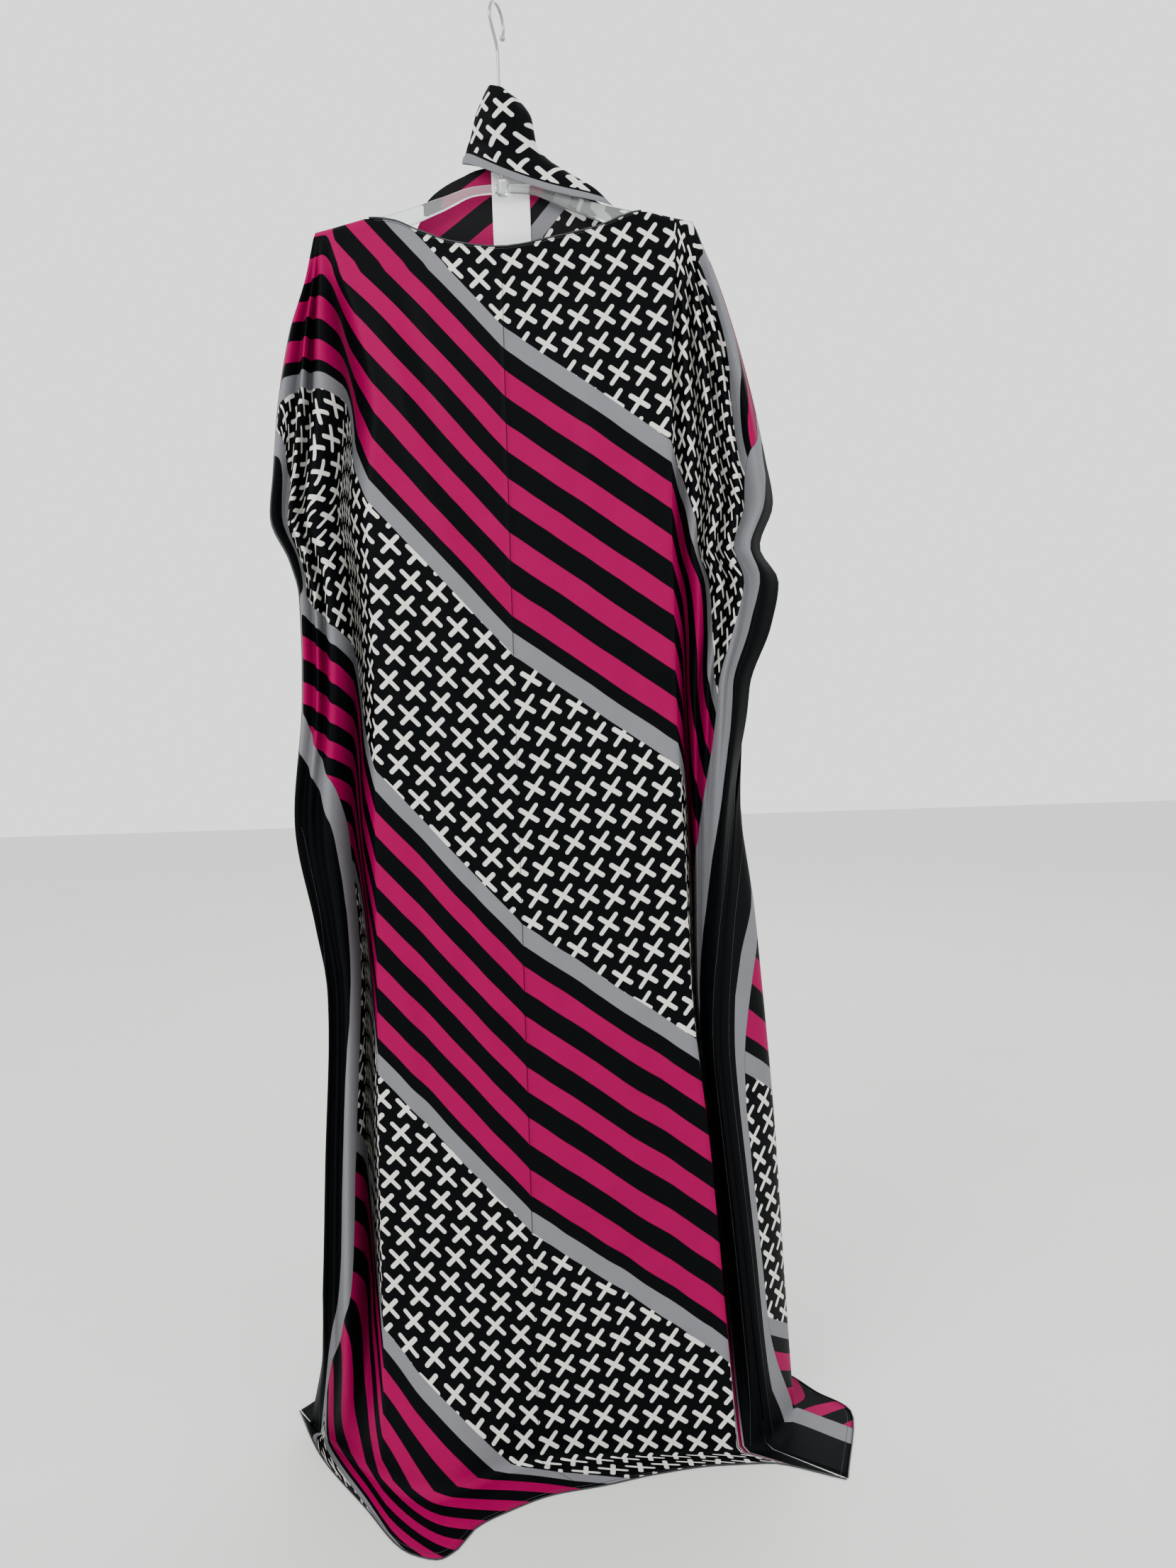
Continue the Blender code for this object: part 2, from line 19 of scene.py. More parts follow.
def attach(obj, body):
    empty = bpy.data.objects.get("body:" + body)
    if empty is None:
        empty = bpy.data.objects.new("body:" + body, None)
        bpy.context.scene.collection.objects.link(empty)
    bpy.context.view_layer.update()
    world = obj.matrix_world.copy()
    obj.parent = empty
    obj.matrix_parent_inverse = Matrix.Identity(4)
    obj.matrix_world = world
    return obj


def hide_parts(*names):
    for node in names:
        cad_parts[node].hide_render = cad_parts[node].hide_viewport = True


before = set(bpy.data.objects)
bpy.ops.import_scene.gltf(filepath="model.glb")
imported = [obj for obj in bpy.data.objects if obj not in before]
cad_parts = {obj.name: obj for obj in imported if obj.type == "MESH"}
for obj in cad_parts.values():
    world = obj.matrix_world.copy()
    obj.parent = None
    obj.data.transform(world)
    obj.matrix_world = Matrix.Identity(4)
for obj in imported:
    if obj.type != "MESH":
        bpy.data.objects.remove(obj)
log = logging.getLogger("kaftan")

Point = tuple[float, float, float]
Colour = tuple[float, float, float, float]
Rows = list[list[Point]]
Socket = bpy.types.NodeSocket

# levels of the hanging form
FLOOR = -1.66
TOP_Z = -0.2402
SHOULDER_JOIN = -0.285
SHOULDER_PEAK = -0.1850
SHOULDER_FALL = 0.245
SHOULDER_BEND = 0.0105

# height; outermost left; left body line; right body line; outermost right
OUTLINE = (
    (-0.240, -0.2120, -0.1900, 0.1900, 0.2120),
    (-0.262, -0.2180, -0.1870, 0.1900, 0.2220),
    (-0.290, -0.2260, -0.1810, 0.1890, 0.2340),
    (-0.343, -0.2460, -0.1650, 0.1850, 0.2520),
    (-0.430, -0.2650, -0.1500, 0.1800, 0.2750),
    (-0.500, -0.2740, -0.1580, 0.1790, 0.2890),
    (-0.550, -0.2800, -0.1620, 0.1780, 0.2970),
    (-0.600, -0.2590, -0.1620, 0.1770, 0.2800),
    (-0.640, -0.2490, -0.1620, 0.1770, 0.3000),
    (-0.690, -0.2480, -0.1620, 0.1770, 0.2900),
    (-0.760, -0.2510, -0.1630, 0.1770, 0.2640),
    (-0.900, -0.2690, -0.1680, 0.1800, 0.2550),
    (-1.020, -0.2500, -0.1720, 0.1840, 0.2680),
    (-1.100, -0.2390, -0.1750, 0.1860, 0.2740),
    (-1.300, -0.2520, -0.1810, 0.2040, 0.2880),
    (-1.550, -0.2720, -0.1850, 0.2200, 0.3000),
    (-1.660, -0.2960, -0.1900, 0.2260, 0.3060),
)

# height; front plane y; back plane y
HANG = (
    (-0.240, -0.0105, 0.0105),
    (-0.300, -0.0190, 0.0210),
    (-0.430, -0.0320, 0.0380),
    (-0.640, -0.0410, 0.0500),
    (-0.900, -0.0480, 0.0580),
    (-1.200, -0.0540, 0.0640),
    (-1.660, -0.0680, 0.0720),
)

# height; how far the right side seam lies inside the outline; its y; its turn from the depth way, degrees
RIGHT_SEAM = (
    (-0.240, 0.000, 0.000, 0.0),
    (-0.780, 0.000, 0.000, 0.0),
    (-0.900, 0.010, -0.014, 35.0),
    (-1.050, 0.044, -0.040, 75.0),
    (-1.200, 0.061, -0.047, 90.0),
    (-1.450, 0.052, -0.054, 90.0),
    (-1.660, 0.044, -0.060, 90.0),
)

# x; height of the front neck edge
FRONT_NECK = (
    (-0.154, -0.2240),
    (-0.120, -0.2300),
    (-0.095, -0.2410),
    (-0.056, -0.2550),
    (-0.003, -0.2620),
    (0.055, -0.2530),
    (0.102, -0.2430),
    (0.142, -0.2290),
    (0.158, -0.2250),
)

# x; height of the back neck edge, which is drawn up behind the hanger
BACK_NECK = (
    (-0.154, -0.2240),
    (-0.118, -0.2330),
    (-0.098, -0.2320),
    (-0.088, -0.2040),
    (-0.077, -0.1930),
    (-0.058, -0.1815),
    (-0.044, -0.1755),
    (-0.030, -0.1695),
    (-0.010, -0.1665),
    (0.030, -0.1740),
    (0.070, -0.1886),
    (0.110, -0.2094),
    (0.134, -0.2230),
    (0.158, -0.2250),
)

# each wing's folds: share of the way from the body line to the outermost edge near the shoulder and
# near the hem, then how far they reach from the panel's plane to the middle, near shoulder and hem
WING_FOLDS = {
    ("front", "left"): (
        (0.27, 0.28, 0.92, 1.00),
        (0.52, 0.52, 0.00, 0.08),
        (0.67, 0.68, 0.80, 0.30),
        (0.72, 0.77, 0.12, 0.26),
        (0.80, 0.85, 0.70, 0.36),
        (0.91, 0.94, 0.20, 0.30),
    ),
    ("front", "right"): (
        (0.08, 0.18, 0.55, 1.00),
        (0.20, 0.29, 0.02, 0.62),
        (0.34, 0.37, 0.80, 0.66),
        (0.43, 0.44, 0.08, 0.58),
        (0.55, 0.52, 0.75, 0.50),
        (0.64, 0.60, 0.08, 0.35),
        (0.75, 0.68, 0.60, 0.22),
        (0.88, 0.78, 0.15, 0.12),
    ),
    ("back", "left"): (
        (0.20, 0.22, 0.80, 0.95),
        (0.42, 0.44, 0.05, 0.10),
        (0.60, 0.60, 0.85, 0.80),
        (0.80, 0.80, 0.10, 0.15),
    ),
    ("back", "right"): (
        (0.22, 0.20, 0.85, 0.95),
        (0.44, 0.42, 0.05, 0.05),
        (0.62, 0.58, 0.80, 0.80),
        (0.82, 0.86, 0.12, 0.25),
        (0.90, 1.00, 0.30, 1.00),
    ),
}

# share along the hem from left to right; x and y of the hem on the floor
FRONT_HEM = (
    (0.00, -0.3160, 0.0384),
    (0.09, -0.272, -0.0470),
    (0.19, -0.202, -0.1390),
    (0.27, -0.140, -0.2130),
    (0.31, -0.110, -0.2230),
    (0.35, -0.092, -0.2120),
    (0.38, -0.072, -0.1780),
    (0.44, -0.037, -0.1540),
    (0.52, 0.010, -0.1310),
    (0.60, 0.070, -0.1180),
    (0.70, 0.130, -0.1020),
    (0.80, 0.199, -0.0910),
    (0.92, 0.262, -0.0900),
    (1.00, 0.344, -0.1215),
)
BACK_HEM = (
    (0.00, -0.3142, 0.0398),
    (0.10, -0.262, 0.0960),
    (0.28, -0.140, 0.1080),
    (0.45, 0.000, 0.1080),
    (0.60, 0.140, 0.1080),
    (0.72, 0.250, 0.1020),
    (0.80, 0.306, 0.0860),
    (0.86, 0.341, 0.0430),
    (0.93, 0.377, -0.0050),
    (1.00, 0.3458, -0.1190),
)

# height; metres of cloth tucked behind the wing's outer edge: front left, front right, back left, back right
TUCKED = (
    (-0.240, 0.000, 0.000, 0.000, 0.000),
    (-0.300, 0.015, 0.015, 0.010, 0.010),
    (-0.400, 0.080, 0.080, 0.060, 0.060),
    (-0.475, 0.090, 0.090, 0.080, 0.080),
    (-0.544, 0.170, 0.165, 0.100, 0.100),
    (-0.568, 0.225, 0.200, 0.100, 0.100),
    (-0.600, 0.200, 0.125, 0.080, 0.080),
    (-0.640, 0.175, 0.090, 0.060, 0.060),
    (-0.700, 0.155, 0.072, 0.040, 0.040),
    (-0.780, 0.125, 0.070, 0.030, 0.030),
    (-0.900, 0.000, 0.060, 0.020, 0.020),
    (-1.020, 0.000, 0.058, 0.020, 0.050),
    (-1.100, 0.015, 0.055, 0.020, 0.075),
    (-1.300, 0.020, 0.045, 0.020, 0.095),
    (-1.550, 0.010, 0.040, 0.020, 0.090),
    (-1.660, 0.000, 0.020, 0.010, 0.030),
)

# neck drape rings from the front hem up: step; left x, left height, right x, right height, half depth
DRAPE_RINGS = (
    (0.0, -0.0445, -0.1650, 0.1230, -0.2150, 0.0165),
    (1.0, -0.0435, -0.1600, 0.1040, -0.1960, 0.0170),
    (2.0, -0.0400, -0.1540, 0.0760, -0.1790, 0.0175),
    (3.0, -0.0375, -0.1460, 0.0510, -0.1620, 0.0165),
    (4.0, -0.0350, -0.1410, 0.0400, -0.1490, 0.0180),
    (5.0, -0.0310, -0.1270, 0.0375, -0.1350, 0.0185),
    (6.0, -0.0280, -0.1160, 0.0350, -0.1190, 0.0180),
    (7.0, -0.0190, -0.0960, 0.0250, -0.1030, 0.0140),
    (8.0, -0.0125, -0.0840, 0.0080, -0.0890, 0.0090),
)

# hanger arm from the middle out: x; top height; bar height
ARM_SECTIONS = (
    (0.000, -0.1890, 0.0100),
    (0.030, -0.1908, 0.0105),
    (0.070, -0.2020, 0.0160),
    (0.120, -0.2163, 0.0200),
    (0.158, -0.2248, 0.0180),
    (0.180, -0.2302, 0.0150),
    (0.200, -0.2378, 0.0110),
    (0.2055, -0.2410, 0.0060),
)


class Face(Enum):
    """Which panel of the dress."""

    FRONT = "front"
    BACK = "back"

    @property
    def way(self) -> float:
        """-1 towards the viewer for the front, 1 for the back."""
        return -1.0 if self is Face.FRONT else 1.0


class Wing(Enum):
    """Which wing, as seen by a viewer of the front."""

    LEFT = "left"
    RIGHT = "right"


def clamp(value: float, low: float = 0.0, high: float = 1.0) -> float:
    """The value, kept between two limits."""
    return min(max(value, low), high)


def ease(value: float) -> float:
    """A share from 0 to 1, made to start and end softly."""
    k = clamp(value)
    return k * k * (3 - 2 * k)


def curve_step(
    u: float, start: np.ndarray, end: np.ndarray, leaving: np.ndarray, arriving: np.ndarray
) -> np.ndarray:
    """Find a point of one smooth step between two values.

    Args:
        u: Share of the way, from 0 to 1.
        start: The first value.
        end: The last value.
        leaving: The tangent at the first value.
        arriving: The tangent at the last value.

    Returns:
        The value at the share.
    """
    return (
        (2 * u**3 - 3 * u**2 + 1) * start
        + (u**3 - 2 * u**2 + u) * leaving
        + (3 * u**2 - 2 * u**3) * end
        + (u**3 - u**2) * arriving
    )


def follow(rows: Sequence[Sequence[float]], at: float, falling: bool = True) -> np.ndarray:
    """Read a table at one key, on a smooth curve that keeps between neighbouring rows.

    Args:
        rows: The table; its first column is the key.
        at: The key to read.
        falling: Whether the keys fall from row to row.

    Returns:
        The values of the other columns.
    """
    sign = -1.0 if falling else 1.0
    keys = sign * np.array([row[0] for row in rows])
    values = np.array([row[1:] for row in rows])
    key = float(np.clip(sign * at, keys[0], keys[-1]))
    steps = np.diff(keys)[:, None]
    slopes = np.diff(values, axis=0) / steps
    tangents = np.vstack([slopes[:1], np.zeros_like(slopes[1:]), slopes[-1:]])
    same_way = slopes[:-1] * slopes[1:] > 0
    total = np.where(same_way, slopes[:-1] + slopes[1:], 1.0)
    tangents[1:-1] = np.where(same_way, 2 * slopes[:-1] * slopes[1:] / total, 0.0)
    i = int(np.clip(np.searchsorted(keys, key) - 1, 0, len(keys) - 2))
    width = keys[i + 1] - keys[i]
    u = (key - keys[i]) / width
    return curve_step(u, values[i], values[i + 1], width * tangents[i], width * tangents[i + 1])


def through(points: Sequence[np.ndarray], steps: int) -> list[np.ndarray]:
    """Points of a smooth curve through fold points.

    Args:
        points: The points to pass through.
        steps: How many steps to take between each two of them.

    Returns:
        The curve's points, the first and last fold points among them.
    """
    tangents = [points[1] - points[0]]
    tangents += [(b - a) * 0.5 for a, b in zip(points, points[2:])]
    tangents += [points[-1] - points[-2]]
    curve = [points[0]]
    for a, b, ta, tb in zip(points, points[1:], tangents, tangents[1:]):
        curve += [curve_step(step / steps, a, b, ta, tb) for step in range(1, steps + 1)]
    return curve


@dataclass(frozen=True)
class HangingForm:
    """The form in which the cloth hangs from the hanger and lies on the floor."""

    seam_gap: float = 0.0003
    cuff_top: float = -0.560
    cuff_end: float = -0.900
    cuff_open: float = 0.034
    settle_top: float = -1.46
    hem_gap: float = 0.0012
    tip_gap: float = 0.0009
    tip_end: float = -0.262
    tip_start_x: float = 0.192
    tip_width: float = 0.020
    tip_lead: float = 0.001
    left_seam_back: float = 0.014
    left_seam_back_top: float = -1.30
    seam_lead: float = 0.004
    middle_gap: float = 0.0035
    fold_high: float = -0.40
    fold_low: float = -0.95
    fold_start: float = -0.252
    fold_start_length: float = 0.070
    bulge_x: float = -0.125
    bulge_width: float = 0.075
    bulge_depth: float = 0.060
    bulge_top: float = -1.36
    neck_lift_width: float = 0.020
    crease_top_x: float = -0.003
    crease_foot_x: float = -0.0075

    def shoulder_height(self, x: float) -> float:
        """Height of the shoulder line over the hanger's arm."""
        return SHOULDER_PEAK - SHOULDER_FALL * abs(x)

    def bend(self, drop: float) -> float:
        """How far the cloth stands off the middle at a drop below the shoulder line, as a share."""
        k = clamp(drop / SHOULDER_BEND)
        return math.sqrt(1.0 - (1.0 - k) ** 2)

    def plane(self, face: Face, height: float) -> float:
        """The y of a panel's flat middle at one height."""
        return float(follow(HANG, height)[0 if face is Face.FRONT else 1])

    def crease_x(self, height: float) -> float:
        """The x of the pressed line down the middle of the front at one height."""
        k = (height - TOP_Z) / (FLOOR - TOP_Z)
        return self.crease_top_x + (self.crease_foot_x - self.crease_top_x) * clamp(k)

    def cuff_gap(self, height: float) -> float:
        """Half the distance between the front and back edges, which is wide where the cuffs are open.

        Args:
            height: The level.

        Returns:
            Half the distance.
        """
        k = (self.cuff_top - height) / (self.cuff_top - self.cuff_end)
        if height > self.tip_end:
            near = (height - self.tip_end) / (TOP_Z - self.tip_end)
            return self.seam_gap / 2 + self.tip_gap * near
        if height < self.settle_top:
            low = (self.settle_top - height) / (self.settle_top - FLOOR)
            return self.seam_gap / 2 + self.hem_gap / 2 * low
        if k <= 0.0 or k >= 1.0:
            return self.seam_gap / 2
        return self.seam_gap / 2 + self.cuff_open / 2 * math.sin(math.pi * k)

    def seam_place(self, wing: Wing, height: float) -> tuple[np.ndarray, np.ndarray]:
        """Find the side or shoulder seam at one height.

        Args:
            wing: Which wing's seam.
            height: The level.

        Returns:
            The seam's point in plan, and the way across it from front to back.
        """
        left, _, _, right = follow(OUTLINE, height)
        if wing is Wing.LEFT:
            low = clamp((self.left_seam_back_top - height) / (self.left_seam_back_top - FLOOR))
            return np.array((left, self.left_seam_back * low**2)), np.array((0.0, 1.0))
        inset, y, degrees = follow(RIGHT_SEAM, height)
        turn = math.radians(degrees)
        return np.array((right - inset, y)), np.array((math.sin(turn), math.cos(turn)))

    def wing_section(self, face: Face, wing: Wing, height: float, steps: int) -> list[np.ndarray]:
        """Section of a wing at one height.

        Args:
            face: Which panel.
            wing: Which wing.
            height: The level.
            steps: Steps between fold points.

        Returns:
            Points in plan from the body line out to the panel's edge.
        """
        left, body_left, body_right, right = follow(OUTLINE, height)
        near_end = self.bend(TOP_Z - height)
        plane = self.plane(face, height) * near_end
        middle = face.way * self.middle_gap * near_end
        seam, across = self.seam_place(wing, height)
        body = body_left if wing is Wing.LEFT else body_right
        outermost = left if wing is Wing.LEFT else right
        if face is Face.FRONT:
            outermost = seam[0]
        low = clamp((self.fold_high - height) / (self.fold_high - self.fold_low))
        start = clamp((self.fold_start - height) / self.fold_start_length)
        settled = clamp((self.settle_top - height) / (self.settle_top - FLOOR))
        round_to = 0.0 if (face, wing) == (Face.BACK, Wing.RIGHT) else seam[1]
        points = [np.array((body, plane))]
        for share_high, share_low, reach_high, reach_low in WING_FOLDS[face.value, wing.value]:
            share = share_high + (share_low - share_high) * low
            opened = settled if share < 0.95 else 0.0
            reach = (reach_high + (reach_low - reach_high) * low) * start * (1.0 - opened)
            y = plane + (middle - plane) * reach + (round_to - plane) * share**1.5 * opened
            points.append(np.array((body + (outermost - body) * share, y)))
        edge = seam + face.way * across * self.cuff_gap(height)
        lead = self.tip_lead if wing is Wing.LEFT else -self.tip_lead
        inward = np.array((lead, 0.0)) * (1 - near_end)
        points.append(edge + face.way * across * self.seam_lead * near_end + inward)
        return through(points, steps) + [edge]

    def neck_height(self, face: Face, x: float) -> float:
        """Height of a panel's top edge at x.

        Args:
            face: Which panel.
            x: Where across the dress.

        Returns:
            The height.
        """
        neck = FRONT_NECK if face is Face.FRONT else BACK_NECK
        if neck[0][0] < x < neck[-1][0]:
            return float(follow(neck, x, falling=False)[0])
        return self.shoulder_height(x)

    def body_point(self, face: Face, x: float, share: float, height: float) -> Point:
        """Point of a panel's middle between its top edge and a level row.

        Args:
            face: Which panel.
            x: Where across the dress.
            share: Share of the way down from the top edge.
            height: The level row's height.

        Returns:
            The point.
        """
        neck = FRONT_NECK if face is Face.FRONT else BACK_NECK
        top = self.neck_height(face, x)
        z = top + (height - top) * share
        bent = self.bend(self.shoulder_height(x) - z)
        if face is Face.BACK and z > self.shoulder_height(x) - SHOULDER_BEND:
            lifted = min(x - neck[0][0], neck[-1][0] - x) / self.neck_lift_width
            bent = max(bent, min(lifted, 1.0))
        return x, self.plane(face, z) * bent + face.way * self.seam_gap / 2 * (1 - bent), z

    def front_bulge(self, x: float, height: float) -> float:
        """How far the cloth heaps forwards near the floor at the front's left."""
        low = clamp((self.bulge_top - height) / (self.bulge_top - FLOOR))
        return self.bulge_depth * low**2 * math.exp(-(((x - self.bulge_x) / self.bulge_width) ** 2))


@dataclass(frozen=True)
class Crease:
    """One soft crease on the flat middle of a panel."""

    x_top: float
    z_top: float
    x_foot: float
    z_foot: float
    width: float
    rise: float
    sway: float = 0.0

    def height_at(self, x: float, z: float) -> float:
        """How far the crease stands out at a place of the panel.

        Args:
            x: Where across the dress.
            z: The level.

        Returns:
            The height of the crease there.
        """
        k = (z - self.z_top) / (self.z_foot - self.z_top)
        if not 0.0 < k < 1.0:
            return 0.0
        line = self.x_top + (self.x_foot - self.x_top) * k + self.sway * math.sin(math.pi * k)
        across = (x - line) / self.width
        return self.rise * math.exp(-(across**2)) * math.sin(math.pi * k) ** 0.6


FRONT_CREASES = (
    Crease(-0.165, -0.300, -0.060, -0.640, 0.016, 0.0045, 0.010),
    Crease(-0.120, -0.290, -0.075, -0.560, 0.012, -0.0030, 0.006),
    Crease(-0.175, -0.380, -0.110, -0.900, 0.014, 0.0040, -0.006),
    Crease(0.120, -0.270, 0.085, -0.620, 0.015, 0.0030, -0.008),
    Crease(0.170, -0.330, 0.120, -0.760, 0.014, 0.0040, 0.004),
    Crease(0.150, -0.420, 0.100, -0.980, 0.012, -0.0030, 0.006),
    Crease(-0.070, -0.560, -0.090, -1.120, 0.018, 0.0040, 0.005),
    Crease(-0.110, -0.760, -0.125, -1.380, 0.016, -0.0040, -0.006),
    Crease(-0.045, -0.900, -0.055, -1.480, 0.014, 0.0030, 0.004),
    Crease(0.050, -0.640, 0.055, -1.200, 0.016, -0.0030, -0.005),
    Crease(0.095, -0.780, 0.115, -1.420, 0.018, 0.0045, 0.006),
    Crease(0.140, -0.950, 0.160, -1.560, 0.014, -0.0035, 0.004),
    Crease(-0.140, -1.050, -0.150, -1.600, 0.014, 0.0050, 0.008),
    Crease(0.030, -1.100, 0.040, -1.560, 0.013, 0.0025, -0.003),
    Crease(-0.085, -1.240, -0.080, -1.600, 0.012, 0.0040, 0.006),
    Crease(0.100, -1.330, 0.095, -1.600, 0.013, -0.0040, 0.003),
)
BACK_CREASES = (
    Crease(-0.150, -0.300, -0.090, -0.760, 0.016, 0.0050, 0.008),
    Crease(0.150, -0.310, 0.080, -0.820, 0.016, 0.0050, -0.010),
    Crease(-0.060, -0.420, -0.075, -1.150, 0.018, 0.0045, 0.004),
    Crease(0.020, -0.380, 0.030, -1.240, 0.020, -0.0045, 0.006),
    Crease(0.100, -0.640, 0.120, -1.500, 0.018, 0.0050, -0.005),
    Crease(-0.120, -0.800, -0.130, -1.600, 0.017, -0.0050, 0.006),
    Crease(-0.030, -1.000, -0.040, -1.620, 0.016, 0.0050, 0.003),
    Crease(0.060, -1.150, 0.060, -1.620, 0.015, 0.0040, 0.004),
)


# --- meshes -------------------------------------------------------------------------------------------


def scene_object(name: str, data: bpy.types.ID) -> bpy.types.Object:
    """Put a new object with this data in the scene.

    Args:
        name: The object's name.
        data: Its mesh, camera or light.

    Returns:
        The object.
    """
    made = bpy.data.objects.new(name, data)
    bpy.context.scene.collection.objects.link(made)
    return made


def mesh_object(name: str, points: Iterable[Point], faces: Iterable[Sequence[int]]) -> bpy.types.Object:
    """Make a mesh object in the scene.

    Args:
        name: The object's name.
        points: Vertex places.
        faces: Faces as vertex numbers.

    Returns:
        The new object, at the origin.
    """
    mesh = bpy.data.meshes.new(name)
    mesh.from_pydata([tuple(p) for p in points], [], [tuple(f) for f in faces])
    mesh.update()
    return scene_object(name, mesh)


def grid_object(name: str, rows: Rows, closed: bool = False) -> bpy.types.Object:
    """Make a grid of faces from rows of points.

    Args:
        name: The object's name.
        rows: The rows, all of one length.
        closed: Whether each row is a ring.

    Returns:
        The new object.
    """
    count = len(rows[0])
    faces = []
    for i in range(len(rows) - 1):
        for j in range(count if closed else count - 1):
            k = (j + 1) % count
            faces.append((i * count + j, (i + 1) * count + j, (i + 1) * count + k, i * count + k))
    return mesh_object(name, [p for row in rows for p in row], faces)


def set_places(piece: bpy.types.Object, places: np.ndarray, name: str = "print_place") -> None:
    """Store where each vertex lies on the flat cloth, in metres.

    Args:
        piece: The mesh object.
        places: One (across, down, 0) place for each vertex.
        name: The attribute's name.
    """
    attribute = piece.data.attributes.new(name, "FLOAT_VECTOR", "POINT")
    attribute.data.foreach_set("vector", places.astype(np.float32).ravel())


def tube_rows(path: Sequence[Point], radius: float | Sequence[float], sides: int) -> Rows:
    """Rings of a round tube along a path.

    Args:
        path: Points of the centre line.
        radius: One radius, or one for each point.
        sides: Faces round the tube.

    Returns:
        The rings.
    """
    points = [Vector(p) for p in path]
    radii = [radius] * len(points) if isinstance(radius, float) else list(radius)
    ahead, behind = points[1:] + points[-1:], points[:1] + points[:-1]
    tangents = [(b - a).normalized() for a, b in zip(behind, ahead)]
    side = tangents[0].orthogonal().normalized()
    rows = []
    for point, tangent, size in zip(points, tangents, radii):
        side = (side - tangent * side.dot(tangent)).normalized()
        other = tangent.cross(side)
        ring = []
        for k in range(sides):
            angle = 2 * math.pi * k / sides
            ring.append(tuple(point + (side * math.cos(angle) + other * math.sin(angle)) * size))
        rows.append(ring)
    return rows


def cap_and_orient(piece: bpy.types.Object) -> None:
    """Close a mesh's open ends and turn its faces outwards.

    Args:
        piece: The piece whose mesh is changed.
    """
    build = bmesh.new()
    build.from_mesh(piece.data)
    bmesh.ops.remove_doubles(build, verts=build.verts, dist=1e-6)
    bmesh.ops.holes_fill(build, edges=[e for e in build.edges if e.is_boundary], sides=64)
    bmesh.ops.recalc_face_normals(build, faces=build.faces)
    build.to_mesh(piece.data)
    build.free()


def tube_object(
    name: str, path: Sequence[Point], radius: float | Sequence[float], sides: int
) -> bpy.types.Object:
    """Make a closed round tube along a path.

    Args:
        name: The piece's name.
        path: Its centre line.
        radius: One radius, or one for each point.
        sides: How many sides it has.

    Returns:
        The piece.
    """
    piece = grid_object(name, tube_rows(path, radius, sides), closed=True)
    cap_and_orient(piece)
    piece.data.shade_smooth()
    return piece


def plain_mesh(piece: bpy.types.Object) -> None:
    """Turn what a piece's modifiers make into its own mesh, and remove them.

    Args:
        piece: The piece.
    """
    bpy.context.view_layer.update()
    evaluated = piece.evaluated_get(bpy.context.evaluated_depsgraph_get())
    mesh = bpy.data.meshes.new_from_object(evaluated)
    piece.modifiers.clear()
    piece.data = mesh


def thicken(piece: bpy.types.Object, thickness: float, wrong_side: bool = False) -> None:
    """Give a sheet its thickness, half on each side.

    Args:
        piece: The sheet.
        thickness: How thick it is.
        wrong_side: Whether its inner side has the second material.
    """
    wall = piece.modifiers.new("thickness", "SOLIDIFY")
    wall.thickness = thickness
    wall.offset = 0.0
    wall.material_offset = int(wrong_side)
    plain_mesh(piece)


def drop(piece: bpy.types.Object) -> None:
    """Remove an object that only helped to make another."""
    bpy.data.objects.remove(piece)


# --- shader building ----------------------------------------------------------------------------------


